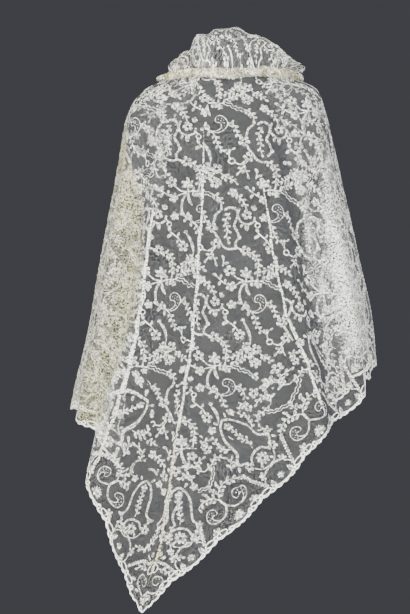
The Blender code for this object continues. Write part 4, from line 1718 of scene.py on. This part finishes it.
def cloth_tints(column: Array, depth: Array) -> Array:
    """How far the cloth lies double and how cream it looks there.

    Args:
        column: columns, from -1 to 1.
        depth: distances down the cloth from the neck, in metres.

    Returns:
        Two values for each place.
    """
    edge = smooth(LEFT_DOUBLE[:, 0], LEFT_DOUBLE[:, 1], depth)
    on_left = ease((edge - column) / 0.022) * ease((depth - 0.13) / 0.09) * ease((column + 0.70) / 0.08)
    middle = np.exp(-(((column - edge + 0.085) / 0.075) ** 2))
    doubled = on_left * (0.05 + 0.12 * middle + 0.04 * np.sin(depth * 23.0 + column * 31.0))
    cream = on_left * (0.45 + 0.55 * middle)
    for band in RIGHT_DOUBLE:
        centre, half, much = (smooth(band[:, 0], band[:, k], depth) for k in (1, 2, 3))
        doubled = doubled + much * np.exp(-(((column - centre) / half) ** 2))
    cream = cream + 0.25 * np.exp(-(((column - 0.47) / 0.03) ** 2 + ((depth - 0.62) / 0.07) ** 2))
    for turned_edge in (-0.560, 0.580):
        doubled = doubled + 0.16 * np.exp(-(((column - turned_edge) / 0.016) ** 2))
    return np.stack([np.clip(doubled, 0.0, 0.9), np.clip(cream, 0.0, 1.0)], axis=-1)


class Stretch(Enum):
    """The stretches of the one sheet: node, first and last column, the record's slot."""

    LEFT_FRONT = ("shawl_left_front", -1.00, -0.62, "ivory_net_lace")
    LEFT_ARM = ("shawl_left_arm", -0.62, -0.28, "cream_net_lace")
    BACK = ("shawl_back", -0.28, 0.26, "ivory_net_lace")
    RIGHT_ARM = ("shawl_right_arm", 0.26, 0.66, "ivory_net_lace")
    RIGHT_FRONT = ("shawl_right_front", 0.66, 1.00, "ivory_net_lace")

    @property
    def node(self) -> str:
        """The node that the stretch stands for."""
        return self.value[0]

    @property
    def slot(self) -> str:
        """The record's material slot."""
        return self.value[3]

    @property
    def label(self) -> str:
        """The stretch's short name."""
        return self.value[0].replace("shawl_", "")

    def span(self, columns: int) -> tuple[int, int]:
        """First and last fine column."""
        first, last = ((at + 1.0) / 2.0 * (columns - 1) for at in self.value[1:3])
        return int(round(first)), int(round(last))


@dataclass(frozen=True)
class PressedFold:
    """A sharp fold down the back, and how far the cloth hidden in it moves the lace beyond it."""

    label: str
    marks: Sequence[Point]  # Its line on the flat cloth, in mm, from the top down.
    halves: tuple[float, float, float]  # Half its width at its top, middle and foot, in mm.
    hidden: Point = (0.0, 0.0)  # Move of the lace beyond it, in mm.
    # Toward the centre fold's foot this cream is partly painted shade of the pleat's valley.
    cream: float = 0.0  # How cream it is at its foot.

    def across_at(self, height: Array) -> Array:
        """Where its line is across the flat cloth at a height, in mm."""
        marks = np.array(self.marks)
        return smooth(-marks[:, 1], marks[:, 0], -height)

    def ridge(self) -> tuple[Lace, Array]:
        """Chart its raised strip of pressed net.

        Returns:
            The strip, and how cream each point of it is; on the centre fold this also carries painted shade of the
            pleat toward its foot.
        """
        line = curve(self.marks, 5.0)
        share = np.linspace(0.0, 1.0, len(line))
        half = smooth((0.0, 0.5, 1.0), self.halves, share) * ease(share / 0.08) * ease((1.0 - share) / 0.05)
        half = half * (1.0 + 0.22 * np.sin(share * 61.0) + 0.16 * np.sin(share * 137.0))
        line[:, 0] += (1.3 * np.sin(share * 43.0) + 0.8 * np.sin(share * 97.0 + 1.0)) * ease(share / 0.3)
        lace = Lace()
        lace.cord(line, np.maximum(half, 0.3), 1.3)
        # Cream rises toward the foot: the pressed layers' own tone, and on the centre fold painted shade of the pleat
        # as well.
        return lace, np.repeat(self.cream * ease((share - 0.5) / 0.35), 3)


# Its foot turns a darker tan: the cream of its many layers, with painted shade of the pleat's valley where it hangs
# looser.
CENTRE_FOLD = PressedFold(
    "centre",
    (
        (-4, -150), (4, -200), (16, -313), (24, -427), (31, -541), (37, -659), (40, -778), (40, -871), (42, -973),
        (44, -1065), (42, -1140), (30, -1204),
    ),
    (1.9, 2.7, 2.7),
    (31.0, -6.0),
    0.75,
)
RIGHT_FOLD = PressedFold(
    "right",
    (
        (142, -259), (166, -325), (189, -402), (222, -486), (249, -553), (282, -603), (313, -660), (334, -706),
        (362, -752),
    ),
    (1.7, 2.6, 3.4),
    (-35.0, 3.0),
)
LEFT_FOLD = PressedFold(
    "left",
    ((-93, -326), (-99, -452), (-100, -531), (-105, -620), (-108, -714), (-119, -812), (-138, -902), (-166, -975)),
    (2.2, 4.2, 3.2),
    cream=0.35,
)


@dataclass
class ShawlSheet:
    """The net triangle with its applied lace, one piece of net for each stretch."""

    drape: Drape
    cut: FlatCut
    hem: HemLine
    finishes: Wardrobe
    # How far the main net ends from the hem line, where the edging's own net takes over.
    short_of_hem: float = 7 * MM
    border_deep_mm: float = 148.0  # Depth that the border always keeps to itself.
    border_gap_mm: float = 8.5  # How near the field's lace comes to the border's.
    field_origin_mm: Point = (178.0, -525.0)  # Flat place of one crescent between the two folds.
    field_turn: float = 7.7  # Turn of the field against the flat cloth, degrees.
    # Flat foot, turn and size of the fan unit each side of the point, which stands upright.
    upright: tuple[tuple[bool, Point, float, float], ...] = (
        (True, (99.0, -1163.0), 11.0, 0.93),
        (False, (-55.0, -1146.0), -12.0, 0.90),
    )
    # Flat foot, turn and size of the point's own unit, which sits a little off the point.
    tip: tuple[Point, float, float] = ((23.0, -1252.0), -8.0, 1.0)
    nets: dict = field(default_factory=dict)
    going_with: dict = field(default_factory=dict)

    def build(self) -> None:
        """Build nets, lace and folds, then log each net's flat cut and area."""
        self.build_nets()
        self.build_field(self.build_border())
        for fold in (CENTRE_FOLD, RIGHT_FOLD, LEFT_FOLD):
            lace, cream = fold.ridge()
            self.lay_on("fold_" + fold.label, lace, self.finishes.folded, cream)
        for stretch, (piece, maps) in self.nets.items():
            self.declare(piece, maps)

    def tints(self, across: Array, down: Array) -> Array:
        """How far the cloth lies double, and how cream it is.

        Args:
            across: fine columns.
            down: fine rows.

        Returns:
            Two values for each place.
        """
        column = across / (self.drape.columns - 1) * 2.0 - 1.0
        length = np.interp(across, np.arange(self.drape.columns), self.drape.lengths)
        return cloth_tints(column, down / self.drape.rows * length)

    def build_nets(self) -> None:
        """One see-through sheet for each stretch."""
        flat = self.cut.fine_places()
        for stretch in Stretch:
            first, last = stretch.span(self.drape.columns)
            rows = []
            for i in range(first, last + 1):
                stop = self.drape.rows * (1.0 - self.short_of_hem / self.drape.lengths[i])
                rows.append(np.linspace(0.0, stop, NET_ROWS))
            down = np.array(rows).ravel()
            across = np.repeat(np.arange(first, last + 1), NET_ROWS).astype(float)
            points = sample_grid(self.drape.points, across, down)
            maps = sample_grid(flat, across, down)
            faces = grid_faces(last - first + 1, NET_ROWS)
            tints = self.tints(across, down)
            name = "net_" + stretch.label
            piece = new_piece(name, points, faces, maps, self.finishes.net, (stretch.node,), tints)
            self.nets[stretch] = (piece, maps.reshape(last - first + 1, NET_ROWS, 2))

    def declare(self, piece: Piece, maps: Array) -> None:
        """Say the net's cut: the smallest upright rectangle round it on the flat cloth, and its flat area.

        Args:
            piece: the net.
            maps: flat place of each of its points.
        """
        low, high = maps.min(axis=(0, 1)), maps.max(axis=(0, 1))
        across, down = maps[1:, :-1] - maps[:-1, :-1], maps[:-1, 1:] - maps[:-1, :-1]
        area = float(np.abs(across[..., 0] * down[..., 1] - across[..., 1] * down[..., 0]).sum())
        wide, long = (float(v) for v in high - low)
        area = cut_area(piece.name, wide, long, area)

    def build_field(self, border: Lace) -> None:
        """The field, laid on in three lengths that meet at the two folds, where some cloth is hidden.

        Args:
            border: the border's lace, which the field keeps clear of.
        """
        chart, start = FieldChart(Motifs()), self.field_origin_mm
        points, faces, _ = border.gathered()
        taken = points[np.unique(faces), :2]
        tree = KDTree(len(taken))
        for k, (x, y) in enumerate(taken.tolist()):
            tree.insert((x, y, 0.0), k)
        tree.balance()

        def free(places: Array) -> Array:
            """Find what lies in from the border and clear of its lace.

            Args:
                places: flat places in mm.

            Returns:
                Whether each does.
            """
            away = self.hem.distance(places)
            clear = away > self.border_deep_mm
            for k in np.flatnonzero(clear & (away < 260.0)):
                clear[k] = tree.find((places[k, 0], places[k, 1], 0.0))[2] > self.border_gap_mm
            return clear

        def on_left(places: Array) -> Array:
            """Which places lie left of the centre fold."""
            return places[:, 0] < CENTRE_FOLD.across_at(places[:, 1])

        def on_right(places: Array) -> Array:
            """Which places lie right of the right fold."""
            return (places[:, 0] > RIGHT_FOLD.across_at(places[:, 1])) & (places[:, 1] < -190.0)

        def between(places: Array) -> Array:
            """Which places lie between the two folds."""
            return ~on_left(places) & ~on_right(places)

        ground = Lace()
        for hidden, wanted in (
            ((0.0, 0.0), between),
            (CENTRE_FOLD.hidden, on_left),
            (RIGHT_FOLD.hidden, on_right),
        ):
            origin = (start[0] + hidden[0], start[1] + hidden[1])
            ground.place(chart.fill(origin, self.field_turn, wanted, 1500.0))
        ground.keep(free)
        self.lay_on("sprigs", ground)

    def build_border(self) -> Lace:
        """The border: units along both sides, an upright fan unit each side of the point, and the point's own.

        Returns:
            The border's lace.
        """
        border = Lace()
        for right, foot, turn, size in self.upright:
            chart = BorderChart(Motifs(), FIRST_UNIT[right], UNIT_STEP)
            marks = self.hem.side(right)[0]
            one = self.hem.bend(chart.run(float(marks[-1])), right)
            lean = math.tan(math.radians(turn))
            sign = 1.0 if right else -1.0

            def clear(places: Array) -> Array:
                """Find what lies outside the upright unit.

                Args:
                    places: flat places in mm.

                Returns:
                    Whether each does.
                """
                up = places[:, 1] - foot[1]
                beside = (places[:, 0] - foot[0] + lean * up) * sign > 44.0
                return np.where(up < 195.0, beside, places[:, 0] * sign > 30.0)

            one.keep(clear)
            border.place(one)
            first = Lace()
            first.place(chart.fan_foot(), (chart.first, 0.0))
            border.place(self.hem.bend(first, right))
            border.place(chart.fan_head(narrow=True), foot, turn, size)
        border.place(BorderChart(Motifs(), 0.0, UNIT_STEP).tip(), *self.tip)
        self.lay_on("border", border)
        return border

    def lay_on(
        self, prefix: str, lace: Lace, material: Material | None = None, cream: Array | None = None
    ) -> None:
        """Carry flat lace onto the draped cloth, one piece for each stretch.

        Args:
            prefix: start of the pieces' names.
            lace: the flat lace.
            material: its finish, the applied lace's if none is given.
            cream: how much more cream it is than the cloth there, at each point; at the centre fold's foot this is
                partly painted shade.
        """
        points, faces, _ = lace.gathered()
        across, down, found = self.cut.find(points[:, :2] * MM)
        faces = faces[found[faces].all(axis=1) & (down[faces].mean(axis=1) < self.drape.rows - 1.5)]
        seated = seat(self.drape.points, self.drape.normals, across, down, points[:, 2:])
        tints = self.tints(np.clip(across, 0, self.drape.columns - 1), down)
        if material is None:
            tints[:, 0] = ease((points[:, 2] - 0.60) / 0.12)
        if cream is not None:
            tints[:, 1] = np.clip(tints[:, 1] + cream, 0.0, 1.0)
        column = across[faces].mean(axis=1)
        for stretch in Stretch:
            first, last = stretch.span(self.drape.columns)
            mine = faces[(column >= first) & (column < last)]
            if len(mine) == 0:
                continue
            finish, name = material or self.finishes.lace, f"{prefix}_{stretch.label}"
            piece = new_piece(name, seated, mine, points[:, :2] * MM, finish, (), tints)
            self.going_with.setdefault(stretch, []).append(piece)


@dataclass
class HemEdging:
    """The scalloped edge of both short sides: a strip of net, its stitched outline, loops and knots."""

    drape: Drape
    cut: FlatCut
    hem: HemLine
    finishes: Wardrobe
    big: float = 6.5  # How far the edge sways over a unit, in mm.
    small_mm: Point = (UNIT_STEP / 7.0, 3.2)  # Pitch and depth of the small scallops.
    inner_mm: float = 9.0  # Where the strip of net starts, in from the hem line.

    def scallop(self, distance: Array, right: bool) -> Array:
        """How far the edge stands out past the hem line.

        Args:
            distance: distances from the point, in mm.
            right: whether it is the right side.

        Returns:
            How far it stands out at each, in mm.
        """
        first = FIRST_UNIT[right]
        big = np.abs(np.cos(math.pi * (distance - first) / UNIT_STEP))
        small = np.abs(np.cos(math.pi * (distance - first) / self.small_mm[0]))
        out = self.big * (big - 0.6) + self.small_mm[1] * (small - 0.5)
        return out * ease(np.asarray(distance) / 22.0) - 2.5 * (1.0 - ease(np.asarray(distance) / 16.0))

    def build(self) -> None:
        """Build both sides."""
        for right in (False, True):
            self.build_side(right)

    def build_side(self, right: bool) -> None:
        """Build one side of the edging.

        Args:
            right: whether it is the right side.
        """
        node = "edging_right" if right else "edging_left"
        length = float(self.hem.side(right)[0][-1]) - 1.0
        along = np.arange(0.5, length, 2.5)
        out = self.scallop(along, right)
        cloth = Lace()
        share = np.linspace(0.0, 1.0, EDGE_ROWS)
        inner = np.full_like(along, self.inner_mm)
        deep = inner[:, None] * (1 - share) - out[:, None] * share
        flat = np.stack([np.repeat(along, EDGE_ROWS), deep.ravel(), np.full(deep.size, 0.02)], axis=1)
        cloth.take(flat, grid_faces(len(along), EDGE_ROWS))
        net = self.carry(node + "_net", cloth, right, self.finishes.net, (node,))
        stitching = self.carry(node + "_stitching", self.stitches(along, out, right), right, self.finishes.edging, ())
        wide = float(np.hypot(np.diff(along), np.diff(out)).sum()) * MM
        high = float((inner + out).max()) * MM
        area = float(((inner + out)[:-1] * np.diff(along)).sum()) * MM * MM
        area = cut_area(net.name, wide, high, area)

    def stitches(self, along: Array, out: Array, right: bool) -> Lace:
        """The stitched outline, with knots and oval loops by the border's units.

        Args:
            along: distances from the point, in mm.
            out: how far the edge stands out at them.
            right: whether it is the right side.

        Returns:
            The lace, in hem coordinates.
        """
        rim = Lace()
        rim.cord(np.stack([along, -out + 1.3], axis=1), 1.9 + 0.35 * np.sin(along * 0.9), 0.9)
        for k in range(-2, int(along[-1] / UNIT_STEP) + 1):
            centre = FIRST_UNIT[right] + UNIT_STEP * k
            for offset in (-52.0, -31.0, 31.0, 52.0, 70.0):
                middle = centre + offset
                if not 16.0 < middle < along[-1] - 16.0:
                    continue
                edge = -float(np.interp(middle, along, out))
                if abs(offset) == 52.0:
                    rim.ring((middle, edge + 7.6), 13.0, 5.4, 1.3, steps=20)
                else:
                    rim.ring((middle, edge + 5.0), 4.3, 4.1, 1.9, steps=10)
            if 52.0 < centre < along[-1] - 52.0:
                edge = -float(np.interp(centre, along, out))
                marks = [(centre + side, edge + up) for side, up in ((-27, 9), (-12, 5), (12, 5), (27, 9))]
                rim.cord(curve(marks), 1.2)
        return rim

    def carry(
        self, name: str, lace: Lace, right: bool, material: Material, replaces: Sequence[str]
    ) -> Piece:
        """Carry lace in hem coordinates onto the draped cloth.

        Args:
            name: the piece's name.
            lace: the lace.
            right: which side it is on.
            material: its finish.
            replaces: nodes that it stands for.

        Returns:
            The piece.
        """
        points, faces, _ = lace.gathered()
        flat = self.hem.to_flat(points[:, :2], right)
        across, down, found = self.cut.find(flat * MM)
        faces = faces[found[faces].all(axis=1)]
        if not right:
            faces = faces[:, ::-1]
        seated = seat(self.drape.points, self.drape.normals, across, down, points[:, 2:])
        return new_piece(name, seated, faces, flat * MM, material, replaces)


@dataclass
class Collar:
    """The top edge of the net stood up round the neck and turned over, with its lace."""

    finishes: Wardrobe
    left: float = 0.130  # Half width on the left.
    right: float = 0.160  # Half width on the right.
    back: float = 0.092  # Depth behind.
    fore: float = 0.088  # Depth before.
    puff: float = 12 * MM  # How far it fills out.
    gathered: float = 0.70  # How much smaller the lace looks for the small gathers all round.
    across: int = 233  # Points round the neck.
    down: int = 57  # Points from the inner foot over the crown to the outer foot.
    # Turn, half width and strength of each gather.
    gathers: tuple[tuple[float, float, float], ...] = (
        (-62.0, 9.0, 0.24),
        (-31.0, 1.6, 0.50),
        (-24.0, 1.2, 0.25),
        (48.0, 3.0, 0.20),
        (66.0, 5.0, 0.24),
    )

    def rows(self) -> Array:
        """Work out the turnover's form.

        Returns:
            Its grid of points, round the neck and over the crown.
        """
        turns = np.linspace(-COLLAR_TURN, COLLAR_TURN, self.across)
        height = smooth(CROWN[:, 0], CROWN[:, 1], turns)
        angle = np.radians(turns)
        half = np.where(angle < 0.0, self.left, self.right)
        deep = np.where(np.cos(angle) > 0.0, self.back, self.fore)
        wave = 3 * MM * np.sin(angle * 9 + 0.7) - 6 * MM * np.exp(-(((turns + 27.0) / 6.0) ** 2))
        crown = np.stack([(half + wave) * np.sin(angle), PLAN_CENTRE - (deep + wave) * np.cos(angle), height], axis=-1)
        inner = plan_point(turns, np.zeros_like(turns))
        inner[:, 2] += 1.5 * MM
        outer = roll_line(turns)
        outer[:, 2] += roll_radius(turns) + 1.5 * MM
        share = smooth(COLLAR_FOOT[:, 0], COLLAR_FOOT[:, 1], turns)[:, None]
        outer[:, :2] = inner[:, :2] + (outer[:, :2] - inner[:, :2]) * share
        radial = np.stack([np.sin(angle), -np.cos(angle)], axis=-1)
        puff = self.puff * np.clip((height - outer[:, 2]) / 0.09, 0.15, 1.0)
        rows = np.zeros((len(turns), self.down, 3))
        bulge = crown - (inner + outer) / 2
        for j, s in enumerate(np.linspace(0.0, 1.0, self.down)):
            blend = (1.0 - math.cos(math.pi * s)) / 2
            rise = max(math.sin(math.pi * s), 0.0)
            rows[:, j] = inner * (1 - blend) + outer * blend
            rows[:, j, :2] += bulge[:, :2] * rise
            rows[:, j, :2] -= radial * puff[:, None] * math.sin(2 * math.pi * s)
            rows[:, j, 2] += bulge[:, 2] * rise**0.6
            ripple = 1.6 * MM * np.sin(angle * 23 + 5.0 * s) + 1.1 * MM * np.sin(angle * 41 - 3.0 * s)
            rows[:, j, :2] += radial * (ripple * rise)[:, None]
        return rows

    def build(self) -> None:
        """Build the net and its lace."""
        rows = self.rows()
        run = run_along(rows[:, self.down // 2])
        fall = np.linalg.norm(np.diff(rows, axis=1), axis=-1).sum(axis=1)
        band = Band(rows, -grid_normals(rows), run, fall, 0.05)
        share = np.linspace(0.0, 1.0, self.down)
        crown = np.exp(-(((share - 0.5) / 0.035) ** 2))[None] * 0.26
        turns = np.linspace(-COLLAR_TURN, COLLAR_TURN, self.across)[:, None]
        folds = sum(much * np.exp(-(((turns - at) / wide) ** 2)) for at, wide, much in self.gathers)
        tints = np.zeros((self.across, self.down, 2))
        tints[..., 0] = np.clip(crown + 0.45 * folds, 0.0, 0.8)
        tints[..., 1] = 0.10 + 0.4 * ease((turns * -1.0 - 30.0) / 30.0)
        net = band.net("net_collar", self.finishes.net, "collar_turnover", "ivory_net_lace", tints)
        lace, chart = Lace(), FieldChart(Motifs())
        # Only what comes on the collar or close to it is charted.
        sprays = chart.fill((20.0, 90.0), 0.0, lambda places: np.abs(places[:, 1] - 150.0) < 210.0, 760.0)
        lace.place(sprays, size=self.gathered)
        sprigs = band.sprigs("sprigs_collar", lace, self.finishes.lace, "ivory_net_lace")
        wide, high, area = band.flat_size("net_collar")


def roll_radius(turn_deg: Array) -> Array:
    """Radius of the neck roll."""
    return smooth(ROLL_SIZE[:, 0], ROLL_SIZE[:, 1], turn_deg)


def roll_line(turn_deg: Array) -> Array:
    """Centre of the neck roll, seated on the outside of the sheet.

    Args:
        turn_deg: plan angles, degrees.

    Returns:
        A point for each.
    """
    drop = smooth(ROLL_REST[:, 0], ROLL_REST[:, 1], turn_deg)
    here = plan_point(turn_deg, drop)
    along = plan_point(turn_deg + 1.0, drop) - plan_point(turn_deg - 1.0, drop)
    down = plan_point(turn_deg, drop + 1 * MM) - plan_point(turn_deg, np.maximum(drop - 1 * MM, 0.0))
    return here + unit(np.cross(down, along)) * (roll_radius(turn_deg) + 1.5 * MM)[:, None]


@dataclass
class NeckRoll:
    """The rolled edge under the turnover: one loose turn of net, uneven along its length."""

    finishes: Wardrobe
    open_deg: float = 50.0  # How far the turn stands open at its foot.
    across: int = 217
    round: int = 25

    def build(self) -> None:
        """Build the roll and its lace."""
        turns = np.linspace(-112.0, 104.0, self.across)
        line = roll_line(turns)
        ahead = unit(roll_line(turns + 1.0) - roll_line(turns - 1.0))
        side = unit(np.cross(ahead, np.array([0.0, 0.0, 1.0])))
        rise = np.cross(side, ahead)
        angles = np.radians(np.linspace(self.open_deg / 2 - 90.0, 270.0 - self.open_deg / 2, self.round))
        rows = np.zeros((self.across, self.round, 3))
        facing = np.zeros_like(rows)
        run = run_along(line)
        for j, angle in enumerate(angles):
            out = side * math.cos(angle) + rise * math.sin(angle)
            twist = 0.09 * np.sin(run / 0.021 + 2.2 * angle) + 0.06 * np.sin(run / 0.009 - 1.7 * angle)
            rows[:, j] = line + out * (roll_radius(turns) * (1.0 + twist))[:, None]
            facing[:, j] = out
        girth = np.linalg.norm(np.diff(rows, axis=1), axis=-1).sum(axis=1)
        band = Band(rows, facing, run, girth, 0.30)
        tints = np.zeros((self.across, self.round, 2))
        tints[..., 1] = (0.70 + 0.25 * np.sin(run / 0.05))[:, None]
        net = band.net("net_roll", self.finishes.rolled, "neck_roll", "cream_net_lace", tints)
        # Only what comes on the roll or close to it is charted.
        lace = FieldChart(Motifs()).fill((0.0, 30.0), 20.0, lambda places: np.abs(places[:, 1] - 40.0) < 60.0, 420.0)
        sprigs = band.sprigs("sprigs_roll", lace, self.finishes.lace, "cream_net_lace", (0.0, 0.35))
        wide, high, area = band.flat_size("net_roll")


@dataclass
class Studio:
    """Pale floor, plain grey surround, soft lights and the camera."""

    floor_height: float = -1.50  # Height of the floor.
    distance: float = 14.0  # From the camera to the plane that the picture's scale holds for.
    plane: float = -0.25  # That plane's place along the view.
    centre: Point = (-0.056, -0.529)  # What the middle of the picture shows, across and up.
    tall: float = 1.369  # Height that the picture takes in at that plane.

    def build(self) -> None:
        """Build the studio."""
        self.floor()
        self.surround()
        self.light("key", (-1.9, -3.2, 1.4), 2.2, 600.0, "#FFFDF8")
        self.light("fill", (2.6, -2.6, 0.2), 2.6, 275.0, "#F8F9FF")
        self.light("rim", (1.4, 2.6, 1.2), 1.8, 60.0, "#FFFFFF")
        self.camera()

    def floor(self) -> None:
        """A round pale floor, outside the picture's frame."""
        angle = np.linspace(0.0, 2 * math.pi, 64, endpoint=False)
        mesh = bpy.data.meshes.new("floor")
        rim = [(1.3 * math.cos(a), 1.3 * math.sin(a), self.floor_height) for a in angle]
        mesh.from_pydata(rim, [], [list(range(64))])
        surface = Surface("pale_floor")
        place = surface.add("TexCoord", {}).outputs["Object"]
        cloud = surface.add("TexNoise", {"Vector": place, "Scale": 6.0, "Detail": 5.0})
        tone = surface.add("Mix", {0: cloud, 6: linear("#D6D5D2"), 7: linear("#DEDDDA")}, data_type="RGBA")
        surface.feed(surface.shader, {"Roughness": 0.8, "Base Color": tone.outputs[2]})
        mesh.materials.append(surface.material)
        piece = bpy.data.objects.new("floor", mesh)
        bpy.context.scene.collection.objects.link(piece)

    def surround(self) -> None:
        """A plain grey surround, so that no wall stands in the way of any view."""
        world = bpy.data.worlds.new("grey_surround")
        world.use_nodes = True
        background = world.node_tree.nodes["Background"]
        background.inputs["Color"].default_value = linear("#434449")
        background.inputs["Strength"].default_value = 1.0
        bpy.context.scene.world = world

    def light(self, name: str, at: tuple[float, float, float], size: float, power: float, colour: str) -> None:
        """One soft square light that faces the shawl.

        Args:
            name: its name.
            at: where it stands.
            size: its side.
            power: its power in watts.
            colour: its colour, as sRGB hex.
        """
        lamp = bpy.data.lights.new(name, "AREA")
        lamp.size = size
        lamp.energy = power
        lamp.color = linear(colour)[:3]
        piece = bpy.data.objects.new(name, lamp)
        piece.location = at
        aim = Vector((0.0, 0.0, -0.5)) - Vector(at)
        piece.rotation_euler = aim.to_track_quat("-Z", "Y").to_euler()
        bpy.context.scene.collection.objects.link(piece)

    def camera(self) -> None:
        """A level camera behind the shawl, its frame as tall as the photograph's."""
        lens = bpy.data.cameras.new("camera")
        lens.sensor_width = 36.0
        lens.lens = 36.0 * self.distance / self.tall
        lens.clip_end = 60.0
        piece = bpy.data.objects.new("camera", lens)
        piece.location = (self.centre[0], self.plane - self.distance, self.centre[1])
        piece.rotation_euler = (math.radians(90.0), 0.0, 0.0)
        bpy.context.scene.collection.objects.link(piece)
        bpy.context.scene.camera = piece


def main() -> None:
    """Build the shawl and its studio, in order."""
    logging.basicConfig(level=logging.INFO, format="%(name)s: %(message)s")
    finishes = Wardrobe()
    drape = Drape()
    drape.lay()
    cut = FlatCut(drape)
    cut.lay()
    hem = HemLine(cut)
    hem.lay()
    NeckRoll(finishes).build()
    ShawlSheet(drape, cut, hem, finishes).build()
    HemEdging(drape, cut, hem, finishes).build()
    Collar(finishes).build()
    Studio().build()
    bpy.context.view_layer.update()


if __name__ == "__main__":
    main()
